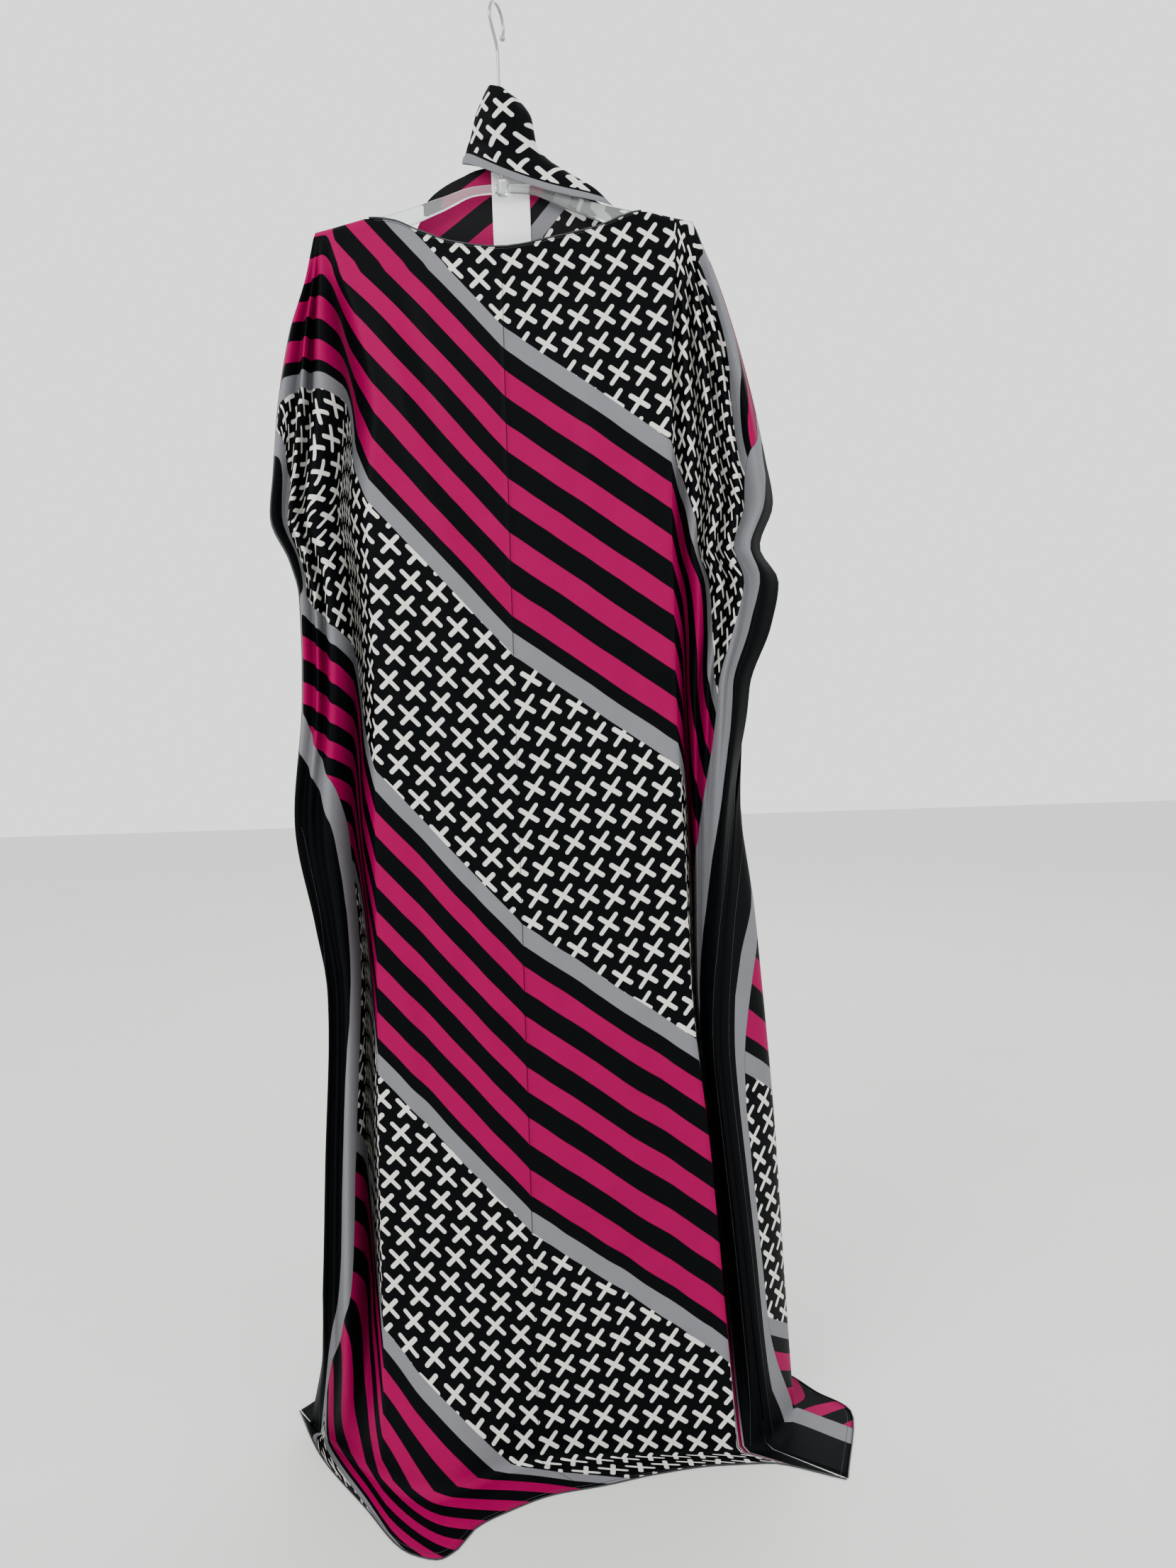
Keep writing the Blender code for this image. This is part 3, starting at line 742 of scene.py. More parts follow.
@dataclass
class NodeSketch:
    """Short hand for building a node tree from sums."""

    tree: bpy.types.NodeTree

    def node(self, kind: str, **settings: object) -> bpy.types.Node:
        """Add a node and set its properties.

        Args:
            kind: The node's type.
            settings: Its properties by name.

        Returns:
            The node.
        """
        made = self.tree.nodes.new(kind)
        for key, value in settings.items():
            setattr(made, key, value)
        return made

    def link(self, source: Socket, target: Socket) -> None:
        """Join two sockets."""
        self.tree.links.new(source, target)

    def feed(self, socket: Socket, value: object) -> None:
        """Give a socket a link or a constant value.

        Args:
            socket: The input.
            value: An output to link, or a constant.
        """
        if isinstance(value, Socket):
            self.link(value, socket)
        else:
            socket.default_value = value

    def sum(self, operation: str, *values: object, clamped: bool = False) -> Socket:
        """Add a Math node.

        Args:
            operation: The Math node's operation.
            values: Its inputs, as sockets or numbers.
            clamped: Whether the result is kept from 0 to 1.

        Returns:
            The result's socket.
        """
        made = self.node("ShaderNodeMath", operation=operation, use_clamp=clamped)
        for socket, value in zip(made.inputs, values):
            self.feed(socket, value)
        return made.outputs[0]

    def blend(self, share: object, below: object, above: object, mode: str = "MIX") -> Socket:
        """Add a colour Mix node.

        Args:
            share: How much of the upper colour shows.
            below: The lower colour.
            above: The upper colour.
            mode: The blend type.

        Returns:
            The mixed colour's socket.
        """
        made = self.node("ShaderNodeMix", data_type="RGBA", blend_type=mode)
        self.feed(made.inputs["Factor"], share)
        self.feed(made.inputs[6], below)
        self.feed(made.inputs[7], above)
        return made.outputs[2]

    def band(self, value: object, low: float, high: float, soft: float = 0.0008) -> Socket:
        """Mask that is 1 where a value lies between two limits.

        Args:
            value: The value.
            low: The lower limit.
            high: The upper limit.
            soft: Width of each soft edge.

        Returns:
            The mask.
        """
        rising = self.sum("DIVIDE", self.sum("SUBTRACT", value, low), soft, clamped=True)
        falling = self.sum("DIVIDE", self.sum("SUBTRACT", high, value), soft, clamped=True)
        return self.sum("MULTIPLY", rising, falling)

    def split(self, vector: object) -> tuple[Socket, ...]:
        """The three parts of a vector.

        Args:
            vector: The vector.

        Returns:
            Its x, y and z.
        """
        made = self.node("ShaderNodeSeparateXYZ")
        self.feed(made.inputs[0], vector)
        return made.outputs[0], made.outputs[1], made.outputs[2]

    def join(self, x: object, y: object, z: object) -> Socket:
        """A vector from three parts.

        Args:
            x: The first part.
            y: The second part.
            z: The third part.

        Returns:
            The vector.
        """
        made = self.node("ShaderNodeCombineXYZ")
        for socket, value in zip(made.inputs, (x, y, z)):
            self.feed(socket, value)
        return made.outputs[0]

    def attribute(self, name: str) -> Socket:
        """A vector that the mesh keeps for each of its points."""
        return self.node("ShaderNodeAttribute", attribute_name=name).outputs["Vector"]

    def object_place(self) -> Socket:
        """The place on the piece itself, in metres."""
        return self.node("ShaderNodeTexCoord").outputs["Object"]

    def toned(self, colour: object, tone: object) -> Socket:
        """A colour made lighter or darker by one number."""
        return self.blend(1.0, colour, self.join(tone, tone, tone), mode="MULTIPLY")

    def noise(self, vector: object, scale: float, detail: float = 2.0) -> Socket:
        """A noise value over a vector.

        Args:
            vector: Where the noise is read.
            scale: How fine it is.
            detail: How many finer steps it has.

        Returns:
            The value, from 0 to 1.
        """
        made = self.node("ShaderNodeTexNoise")
        self.feed(made.inputs["Vector"], vector)
        made.inputs["Scale"].default_value = scale
        made.inputs["Detail"].default_value = detail
        return made.outputs["Fac"]


def new_group(
    name: str, inputs: Sequence[tuple[str, str, object]], outputs: Sequence[tuple[str, str]]
) -> NodeSketch:
    """Start a shader node group.

    Args:
        name: The group's name.
        inputs: Name, socket type and default value of each input.
        outputs: Name and socket type of each output.

    Returns:
        A sketch whose tree has its group input and output nodes.
    """
    tree = bpy.data.node_groups.new(name, "ShaderNodeTree")
    for label, kind, value in inputs:
        socket = tree.interface.new_socket(label, in_out="INPUT", socket_type=kind)
        if value is not None:
            socket.default_value = value
    for label, kind in outputs:
        tree.interface.new_socket(label, in_out="OUTPUT", socket_type=kind)
    tree.nodes.new("NodeGroupInput")
    tree.nodes.new("NodeGroupOutput")
    return NodeSketch(tree)


@dataclass(frozen=True)
class PrintLayout:
    """Sizes of the diagonal print, in metres on the flat cloth."""

    slope: float = 0.92
    period: float = 0.670
    upper_line: tuple[float, float] = (0.089, 0.114)
    lower_line: tuple[float, float] = (0.427, 0.454)
    stripes: tuple[tuple[float, float], ...] = (
        (0.137, 0.167),
        (0.196, 0.227),
        (0.256, 0.286),
        (0.316, 0.348),
        (0.377, 0.409),
    )
    side_line: tuple[float, float] = (0.442, 0.472)
    lattice_turn: float = math.radians(14.0)
    cross_pitch: float = 0.0300
    cross_turn: float = math.radians(26.57)
    cross_arm: float = 0.0126
    cross_half_width: float = 0.0027
    cross_soft: float = 0.0005
    hatch_pitch: float = 0.0021
    hatch_gap: float = 0.22
    hatch_depth: float = 0.38
    # painted shade: a dark line along the pressed middle crease
    pressed_half: float = 0.0008
    pressed_soft: float = 0.0005
    crease_shade_depth: float = 0.72
    wobble: float = 0.004
    wobble_scale: float = 14.0

    def group(self) -> bpy.types.NodeTree:
        """The print, with painted shade along the pressed middle crease, as a node group: place on the cloth
        in, colour and the ivory mask out.

        Returns:
            The node group.
        """
        found = bpy.data.node_groups.get("kaftan_print")
        if found:
            return found
        sketch = new_group(
            "kaftan_print",
            (
                ("Place", "NodeSocketVector", None),
                ("Handed", "NodeSocketFloat", 1.0),
                ("Shift", "NodeSocketFloat", 0.0),
                ("Bands", "NodeSocketFloat", 1.0),
                ("Pressed", "NodeSocketFloat", 0.0),
                ("Black", "NodeSocketColor", (0.01, 0.012, 0.014, 1.0)),
                ("Magenta", "NodeSocketColor", (0.45, 0.01, 0.13, 1.0)),
                ("Grey", "NodeSocketColor", (0.3, 0.3, 0.32, 1.0)),
                ("Ivory", "NodeSocketColor", (0.72, 0.71, 0.66, 1.0)),
            ),
            (("Color", "NodeSocketColor"), ("Ivory Mask", "NodeSocketFloat")),
        )
        given = sketch.tree.nodes["Group Input"].outputs
        across, down, _ = sketch.split(given["Place"])
        wobble = sketch.noise(given["Place"], self.wobble_scale)
        wobble = sketch.sum("MULTIPLY_ADD", wobble, self.wobble, -self.wobble / 2)
        slant = sketch.sum("MULTIPLY", sketch.sum("MULTIPLY", across, given["Handed"]), self.slope)
        along = sketch.sum("ADD", sketch.sum("SUBTRACT", down, slant), given["Shift"])
        turn = sketch.sum("FLOORED_MODULO", sketch.sum("ADD", along, wobble), self.period)

        crosses = self.crosses(sketch, across, down)
        striped = sketch.band(turn, self.upper_line[0], self.lower_line[1])
        striped = sketch.sum("MULTIPLY", striped, given["Bands"])
        lines = sketch.sum("ADD", sketch.band(turn, *self.upper_line), sketch.band(turn, *self.lower_line))
        lines = sketch.sum("MULTIPLY", lines, given["Bands"], clamped=True)
        pinks: object = 0.0
        for low, high in self.stripes:
            pinks = sketch.sum("ADD", pinks, sketch.band(turn, low, high))
        pinks = sketch.sum("MULTIPLY", pinks, given["Bands"], clamped=True)
        side = sketch.sum("ABSOLUTE", across)
        side_wobbled = sketch.sum("ADD", side, wobble)
        border = sketch.sum("GREATER_THAN", side_wobbled, self.side_line[0])
        side_line = sketch.band(side_wobbled, *self.side_line)

        ivory = sketch.sum("MULTIPLY", crosses, sketch.sum("SUBTRACT", 1.0, striped))
        ivory = sketch.sum("MULTIPLY", ivory, sketch.sum("SUBTRACT", 1.0, border))
        ivory_shown = sketch.sum("MULTIPLY", ivory, self.hatch(sketch, across, down))
        colour = sketch.blend(pinks, given["Black"], given["Magenta"])
        colour = sketch.blend(lines, colour, given["Grey"])
        colour = sketch.blend(border, colour, given["Black"])
        colour = sketch.blend(side_line, colour, given["Grey"])
        colour = sketch.blend(ivory_shown, colour, given["Ivory"])
        # painted shade along the pressed middle crease, blended towards black
        depth = sketch.sum("MULTIPLY", given["Pressed"], self.crease_shade_depth)
        pressed = sketch.band(across, -self.pressed_half, self.pressed_half, self.pressed_soft)
        pressed = sketch.sum("MULTIPLY", pressed, depth)
        colour = sketch.blend(pressed, colour, given["Black"])
        made = sketch.tree.nodes["Group Output"].inputs
        sketch.link(colour, made["Color"])
        sketch.link(ivory, made["Ivory Mask"])
        return sketch.tree

    def crosses(self, sketch: NodeSketch, across: object, down: object) -> Socket:
        """Mask of round-ended crosses on a tilted square lattice.

        Args:
            sketch: The sketch to draw in.
            across: Distance from the middle of the cloth.
            down: Distance down the cloth.

        Returns:
            The mask.
        """
        u, v = self.turned(sketch, across, down, self.lattice_turn)
        half = self.cross_pitch / 2
        cells = [sketch.sum("FLOORED_MODULO", way, self.cross_pitch) for way in (u, v)]
        u, v = (sketch.sum("SUBTRACT", way, half) for way in cells)
        cell = [sketch.sum("ABSOLUTE", w) for w in self.turned(sketch, u, v, self.cross_turn)]
        arms = []
        for long_way, short_way in (cell, cell[::-1]):
            beyond = sketch.sum("MAXIMUM", sketch.sum("SUBTRACT", long_way, self.cross_arm), 0.0)
            square = sketch.sum("MULTIPLY_ADD", short_way, short_way, sketch.sum("MULTIPLY", beyond, beyond))
            arms.append(sketch.sum("SQRT", square))
        distance = sketch.sum("MINIMUM", *arms)
        inside = sketch.sum("SUBTRACT", self.cross_half_width, distance)
        return sketch.sum("DIVIDE", inside, self.cross_soft, clamped=True)

    def turned(self, sketch: NodeSketch, across: object, down: object, angle: float) -> tuple[object, object]:
        """The two coordinates of a place, turned by an angle.

        Args:
            sketch: The sketch to draw in.
            across: Distance from the middle of the cloth.
            down: Distance down the cloth.
            angle: The angle, in radians.

        Returns:
            The two turned coordinates.
        """
        cosine, sine = math.cos(angle), math.sin(angle)
        u = sketch.sum("ADD", sketch.sum("MULTIPLY", across, cosine), sketch.sum("MULTIPLY", down, sine))
        v = sketch.sum("SUBTRACT", sketch.sum("MULTIPLY", down, cosine), sketch.sum("MULTIPLY", across, sine))
        return u, v

    def hatch(self, sketch: NodeSketch, across: object, down: object) -> Socket:
        """Share of ivory ink over fine diagonal lines, which let the ground through.

        Args:
            sketch: The sketch to draw in.
            across: Distance from the middle of the cloth.
            down: Distance down the cloth.

        Returns:
            The share of ink.
        """
        slanted = sketch.sum("ADD", across, down)
        wave = sketch.sum("FLOORED_MODULO", slanted, self.hatch_pitch)
        gap = sketch.sum("LESS_THAN", wave, self.hatch_pitch * self.hatch_gap)
        return sketch.sum("MULTIPLY_ADD", gap, -self.hatch_depth, 1.0)


def weave_group() -> bpy.types.NodeTree:
    """Fine cloth weave and slight slub: place and thread size in, height and tone out.

    Returns:
        The node group.
    """
    found = bpy.data.node_groups.get("fine_weave")
    if found:
        return found
    sketch = new_group(
        "fine_weave",
        (
            ("Place", "NodeSocketVector", None),
            ("Threads", "NodeSocketFloat", 9000.0),
            ("Slub", "NodeSocketFloat", 0.3),
        ),
        (("Height", "NodeSocketFloat"), ("Tone", "NodeSocketFloat")),
    )
    given = sketch.tree.nodes["Group Input"].outputs
    across, down, _ = sketch.split(given["Place"])
    warp = sketch.sum("SINE", sketch.sum("MULTIPLY", across, given["Threads"]))
    weft = sketch.sum("SINE", sketch.sum("MULTIPLY", down, given["Threads"]))
    weave = sketch.sum("MULTIPLY", warp, weft)
    slub = sketch.noise(sketch.join(sketch.sum("MULTIPLY", across, 0.12), down, 0.0), 900.0)
    slub = sketch.sum("MULTIPLY", sketch.sum("SUBTRACT", slub, 0.5), given["Slub"])
    cloud = sketch.noise(given["Place"], 22.0, 3.0)
    made = sketch.tree.nodes["Group Output"].inputs
    sketch.link(sketch.sum("MULTIPLY_ADD", weave, 0.25, slub), made["Height"])
    sketch.link(sketch.sum("MULTIPLY_ADD", cloud, 0.5, slub), made["Tone"])
    return sketch.tree


@dataclass(frozen=True)
class Finish:
    """Shared start of every finish: a material with its sketch and its shader."""

    name: str

    def start(self) -> tuple[bpy.types.Material, NodeSketch, bpy.types.Node]:
        """Make the material with an empty Principled BSDF.

        Returns:
            The material, its sketch and its shader.
        """
        material = bpy.data.materials.new(self.name)
        material.use_nodes = True
        sketch = NodeSketch(material.node_tree)
        return material, sketch, material.node_tree.nodes["Principled BSDF"]

    def group(self, sketch: NodeSketch, tree: bpy.types.NodeTree, **values: object) -> bpy.types.Node:
        """Place a node group in the material and feed its inputs.

        Args:
            sketch: The sketch to draw in.
            tree: The node group.
            values: Its inputs by name, with _ for a space.

        Returns:
            The group node.
        """
        made = sketch.node("ShaderNodeGroup", node_tree=tree)
        for key, value in values.items():
            sketch.feed(made.inputs[key.replace("_", " ")], value)
        return made

    def relief(
        self, sketch: NodeSketch, shader: bpy.types.Node, height: object, strength: float, distance: float
    ) -> None:
        """Give the shader a fine relief.

        Args:
            sketch: The material's sketch.
            shader: The material's shader.
            height: The relief's height.
            strength: How much of it shows.
            distance: How high it stands, in metres.
        """
        bump = sketch.node("ShaderNodeBump")
        bump.inputs["Strength"].default_value = strength
        bump.inputs["Distance"].default_value = distance
        sketch.link(height, bump.inputs["Height"])
        sketch.link(bump.outputs["Normal"], shader.inputs["Normal"])


@dataclass(frozen=True)
class PrintedCloth(Finish):
    """Thin satin-faced cloth with the diagonal print."""

    handed: float = 1.0
    shift: float = 0.0
    bands: float = 1.0
    # how much painted shade shows along the pressed middle crease, 1 for the front
    pressed: float = 0.0
    wrong_side: bool = False
    # strength of the painted shade deep in the folds
    fold_shade: float = 0.80
    black: Colour = (0.0016, 0.0021, 0.0026, 1.0)
    magenta: Colour = (0.255, 0.0003, 0.058, 1.0)
    grey: Colour = (0.165, 0.165, 0.178, 1.0)
    ivory: Colour = (0.74, 0.73, 0.68, 1.0)
    wrong_tint: Colour = (0.16, 0.15, 0.16, 1.0)
    wrong_share: float = 0.04
    threads: float = 7400.0
    slub: float = 0.35
    tone_low: float = 0.82
    tone_span: float = 0.34
    roughness: float = 0.44
    wrong_roughness: float = 0.52
    rough_span: float = 0.16
    ivory_roughness: float = 0.10
    relief_strength: float = 0.25
    relief_height: float = 0.0002
    index: float = 1.16
    mirror_level: float = 0.2
    layout: PrintLayout = PrintLayout()

    def material(self) -> bpy.types.Material:
        """Make the cloth's material.

        Returns:
            The material, which reads print_place and fold_shade from its mesh.
        """
        made, sketch, shader = self.start()
        place = sketch.attribute("print_place")
        printed = self.group(
            sketch, self.layout.group(), Place=place, Handed=self.handed, Shift=self.shift, Bands=self.bands,
            Pressed=self.pressed, Black=self.black, Magenta=self.magenta, Grey=self.grey, Ivory=self.ivory,
        )
        weave = self.group(sketch, weave_group(), Place=place, Threads=self.threads, Slub=self.slub)
        tone = sketch.sum("MULTIPLY_ADD", weave.outputs["Tone"], self.tone_span, self.tone_low)
        colour = self.finished(sketch, printed.outputs["Color"], tone, place)
        sketch.link(colour, shader.inputs["Base Color"])
        smooth = self.wrong_roughness if self.wrong_side else self.roughness
        rough = sketch.sum("MULTIPLY_ADD", weave.outputs["Tone"], self.rough_span, smooth)
        rough = sketch.sum("MULTIPLY_ADD", printed.outputs["Ivory Mask"], self.ivory_roughness, rough)
        sketch.link(rough, shader.inputs["Roughness"])
        self.relief(sketch, shader, weave.outputs["Height"], self.relief_strength, self.relief_height)
        shader.inputs["IOR"].default_value = self.index
        shader.inputs["Specular IOR Level"].default_value = self.mirror_level
        return made

    def finished(self, sketch: NodeSketch, printed: object, tone: object, place: object) -> Socket:
        """Paint shade into the print deep in the folds, and make it paler on the wrong side.

        Args:
            sketch: The material's sketch.
            printed: The print's colour.
            tone: The weave's tone.
            place: Where on the flat cloth the print is; a subclass may need it.

        Returns:
            The cloth's colour.
        """
        folded, _, _ = sketch.split(sketch.attribute("fold_shade"))
        shade = sketch.sum("MULTIPLY_ADD", folded, -self.fold_shade, 1.0)
        colour = sketch.toned(printed, sketch.sum("MULTIPLY", tone, shade))
        if self.wrong_side:
            colour = sketch.blend(self.wrong_share, colour, self.wrong_tint)
        return colour


@dataclass(frozen=True)
class PlainCloth(Finish):
    """Plain woven tape or hem, such as a label or a rolled edge."""

    colour: Colour = (0.010, 0.012, 0.014, 1.0)
    roughness: float = 0.55
    threads: float = 5200.0
    slub: float = 0.5
    tone_low: float = 0.88
    tone_span: float = 0.24
    rough_span: float = 0.12
    relief_strength: float = 0.4
    relief_height: float = 0.0003

    def material(self) -> bpy.types.Material:
        """The cloth's material.

        Returns:
            The material.
        """
        made, sketch, shader = self.start()
        place = sketch.object_place()
        x, y, z = sketch.split(place)
        flat = sketch.join(x, z, y)
        weave = self.group(sketch, weave_group(), Place=flat, Threads=self.threads, Slub=self.slub)
        tone = sketch.sum("MULTIPLY_ADD", weave.outputs["Tone"], self.tone_span, self.tone_low)
        sketch.link(sketch.toned(self.colour, tone), shader.inputs["Base Color"])
        rough = sketch.sum("MULTIPLY_ADD", weave.outputs["Tone"], self.rough_span, self.roughness)
        sketch.link(rough, shader.inputs["Roughness"])
        self.relief(sketch, shader, weave.outputs["Height"], self.relief_strength, self.relief_height)
        return made


@dataclass(frozen=True)
class ClearPlastic(Finish):
    """Moulded clear plastic with faint flow marks."""

    tint: Colour = (0.93, 0.96, 0.96, 1.0)
    roughness: float = 0.015
    flow_scale: float = 60.0
    clearness: float = 0.92
    index: float = 1.49

    def material(self) -> bpy.types.Material:
        """The plastic's material.

        Returns:
            The material.
        """
        made, sketch, shader = self.start()
        place = sketch.object_place()
        marks = sketch.noise(place, self.flow_scale)
        rough = sketch.sum("MULTIPLY_ADD", marks, self.roughness, self.roughness)
        sketch.link(rough, shader.inputs["Roughness"])
        shader.inputs["Base Color"].default_value = self.tint
        shader.inputs["Transmission Weight"].default_value = self.clearness
        shader.inputs["IOR"].default_value = self.index
        return made


@dataclass(frozen=True)
class BrightWire(Finish):
    """Bright plated wire with fine rubbing along it."""

    colour: Colour = (0.36, 0.36, 0.37, 1.0)
    rubbing_scale: float = 420.0
    roughness: float = 0.14
    rough_span: float = 0.12
    tone_low: float = 0.90
    tone_span: float = 0.14

    def material(self) -> bpy.types.Material:
        """The wire's material.

        Returns:
            The material.
        """
        made, sketch, shader = self.start()
        place = sketch.object_place()
        rubbed = sketch.noise(place, self.rubbing_scale)
        tone = sketch.sum("MULTIPLY_ADD", rubbed, self.tone_span, self.tone_low)
        sketch.link(sketch.toned(self.colour, tone), shader.inputs["Base Color"])
        rough = sketch.sum("MULTIPLY_ADD", rubbed, self.rough_span, self.roughness)
        sketch.link(rough, shader.inputs["Roughness"])
        shader.inputs["Metallic"].default_value = 1.0
        return made


# --- the dress ----------------------------------------------------------------------------------------


@dataclass
class ClothPanel:
    """One panel of the dress: its neck edge, two folded wings, and a hem that lies on the floor."""

    face: Face
    form: HangingForm
    flat_length: float = 1.46
    hang_half: float = 0.21
    hang_z: float = -0.218
    sag: float = 0.044
    wing_length: float = 0.35
    flank_steps: int = 8
    half_columns: int = 26
    crease_columns: tuple[float, ...] = (-0.006, -0.003, -0.0012, 0.0, 0.0012, 0.003, 0.006)
    top_shares: tuple[float, ...] = (0, 0.004, 0.012, 0.03, 0.06, 0.10, 0.16, 0.24, 0.34, 0.46, 0.60, 0.80)
    level_rows: int = 150
    lying_rows: int = 12
    lying_rise: float = 0.006
    thickness: float = 0.0005
    ripple: float = 0.0011
    tuck_share: float = 0.05
    tuck_below_cuffs: float = 0.10
    cuffs_below: float = -0.95
    cuffs_fade: float = 0.10
    wrap_fade: float = 0.12
    wrap_clear: float = 0.065
    edge_clear: float = 0.02
    edge_fade: float = 0.04
    shade_power: float = 1.5
    valley_power: float = 16.0
    valley_base: float = 0.0006
    even_rows: float = 4.0
    even_reach: int = 12
    tip_border: float = 0.030
    tip_border_behind: float = 0.018
    tip_from: float = -0.44
    tip_to: float = -0.64
    tip_fade: tuple[float, float] = (0.03, 0.04)
    back_shift: float = 0.42
    ripple_scale: tuple[float, float] = (16.0, 7.0)
    crease_from: float = -0.27
    crease_fade: tuple[float, float] = (0.05, 0.03)
    crease_columns_fade: float = 5.0
    pressed_rise: float = 0.0015
    pressed_width: float = 0.0018
    rows: Rows = field(default_factory=list)
    places: np.ndarray = field(default_factory=lambda: np.zeros(0))
    shades: np.ndarray = field(default_factory=lambda: np.zeros(0))

    @property
    def name(self) -> str:
        """The piece's name."""
        return f"{self.face.value}_cloth"

    @property
    def node(self) -> str:
        """The solid that the piece stands for."""
        return f"{self.face.value}_panel"

    @property
    def creases(self) -> tuple[Crease, ...]:
        """The creases listed for this panel."""
        return FRONT_CREASES if self.face is Face.FRONT else BACK_CREASES

    def wing_columns(self, wing: Wing) -> int:
        """How many columns a wing has, its body line and its edge among them."""
        return self.flank_steps * (len(WING_FOLDS[self.face.value, wing.value]) + 1) + 2

    @property
    def middle_column(self) -> int:
        """The column of the line down the middle."""
        return self.wing_columns(Wing.LEFT) + self.half_columns - 1 + len(self.crease_columns) // 2

    def body_columns(self, height: float) -> list[float]:
        """The x of each column between the body lines at one height.

        Args:
            height: The level.

        Returns:
            The columns from left to right.
        """
        _, body_left, body_right, _ = follow(OUTLINE, height)
        line = self.form.crease_x(height)
        first, last = line + self.crease_columns[0], line + self.crease_columns[-1]
        steps = range(1, self.half_columns)
        left = [body_left + (first - body_left) * i / self.half_columns for i in steps]
        right = [last + (body_right - last) * i / self.half_columns for i in steps]
        return left + [line + shift for shift in self.crease_columns] + right

    def level_section(self, height: float) -> list[np.ndarray]:
        """Points of the panel in plan at one height, from its left edge to its right edge.

        Args:
            height: The level.

        Returns:
            The points, each an x and a y.
        """
        left = self.form.wing_section(self.face, Wing.LEFT, height, self.flank_steps)[::-1]
        right = self.form.wing_section(self.face, Wing.RIGHT, height, self.flank_steps)
        plane = float(right[0][1])
        section = left + [np.array((x, plane)) for x in self.body_columns(height)] + right
        if self.face is Face.FRONT:
            for point in section:
                point[1] -= self.form.front_bulge(point[0], height)
        return section

    def top_rows(self) -> Rows:
        """Rows from the neck edge and shoulder line down to the first level row.

        Returns:
            The rows.
        """
        form = self.form
        left_count, right_count = self.wing_columns(Wing.LEFT), self.wing_columns(Wing.RIGHT)
        rows = []
        for share in self.top_shares:
            height = TOP_Z + (SHOULDER_JOIN - TOP_Z) * share
            section = self.level_section(height)
            last = len(section) - 1 - right_count
            row = []
            for j, (x, y) in enumerate(section):
                if left_count <= j <= last:
                    row.append(form.body_point(self.face, float(x), share, SHOULDER_JOIN))
                    continue
                top = form.shoulder_height(x)
                near_tip = clamp((abs(x) - form.tip_start_x) / form.tip_width)
                gap = self.face.way * (form.seam_gap / 2 + form.tip_gap * near_tip)
                gap *= 1 - form.bend(TOP_Z - height)
                row.append((float(x), float(y) + gap, top + (SHOULDER_JOIN - top) * share))
            rows.append(row)
        return rows

    def shape(self) -> None:
        """Work out every row, its places on the flat cloth, and the creases."""
        rows = self.top_rows()
        for i in range(self.level_rows + 1):
            height = SHOULDER_JOIN + (FLOOR + self.lying_rise - SHOULDER_JOIN) * i / self.level_rows
            rows.append([(float(x), float(y), height) for x, y in self.level_section(height)])
        contact = self.level_section(FLOOR)
        lengths = np.cumsum([0.0] + [float(np.linalg.norm(b - a)) for a, b in zip(contact, contact[1:])])
        hem = FRONT_HEM if self.face is Face.FRONT else BACK_HEM
        for i in range(self.lying_rows):
            k = (i + 1) / self.lying_rows
            row = []
            for point, length in zip(contact, lengths):
                x, y = point + (follow(hem, length / lengths[-1], falling=False) - point) * k
                row.append((float(x), float(y), FLOOR + self.thickness))
            rows.append(row)
        self.places = self.flat_places(rows)
        self.rows = self.creased(rows)

    def flat_places(self, rows: Rows) -> np.ndarray:
        """Where each vertex lies on the flat cloth.

        Args:
            rows: The panel's rows before their creases.

        Returns:
            One (across, down, 0) for each vertex, row by row.
        """
        middle = self.middle_column
        ends = (self.wing_columns(Wing.LEFT) - 1, len(rows[0]) - self.wing_columns(Wing.RIGHT))
        level_end = len(rows) - self.lying_rows
        places = np.zeros((len(rows), len(rows[0]), 3))
        lying = np.zeros((len(rows), len(rows[0])))
        lengths = np.zeros((len(rows), len(rows[0])))
        self.shades = np.zeros((len(rows), len(rows[0]), 3))
        deep: dict[int, np.ndarray] = {}
        for i, row in enumerate(rows):
            points = np.array(row)
            if i >= level_end:
                lying[i] = lying[i - 1] + np.linalg.norm(points - np.array(rows[i - 1]), axis=1)
            arc = np.concatenate([[0.0], np.cumsum(np.linalg.norm(np.diff(points[:, :2], axis=0), axis=1))])
            arc -= arc[middle]
            for sign, body, edge in ((-1.0, ends[0], 0), (1.0, ends[1], len(row) - 1)):
                span = range(0, middle + 1) if sign < 0 else range(middle, len(row))
                total = abs(arc[edge])
                reach = max(self.hang_z - points[edge, 2], 0.0005)
                swing = math.pi / 2 if reach < self.wing_length else math.asin(self.wing_length / reach)
                spare = self.hang_half + reach * swing - total
                below = ease((self.cuffs_below - points[edge, 2]) / self.cuffs_fade)
                tuck = min(self.tucked(sign, points[edge, 2]), max(spare, self.tuck_below_cuffs * below))
                if i < level_end:
                    deep[edge] = self.depth_shares(points, arc, body, edge, self.shades[i])
                else:
                    self.shades[i] = self.shades[i - 1]
                border = self.border_shown(sign, points[edge, 2])
                zone = self.tuck_share * total
                for j in span:
                    length = abs(arc[j])
                    outer = ease((length - total + border + zone) / zone)
                    lengths[i, j] = length + (spare - tuck) * deep[edge][j] + tuck * outer
        lengths = self.evened(lengths, level_end)
        for i, row in enumerate(rows):
            for j, (_, _, z) in enumerate(row):
                sign = -1.0 if j <= middle else 1.0
                places[i, j, :2] = self.flat_place(sign, lengths[i, j], z)
                places[i, j, 1] += lying[i, j]
        return places.reshape(-1, 3)

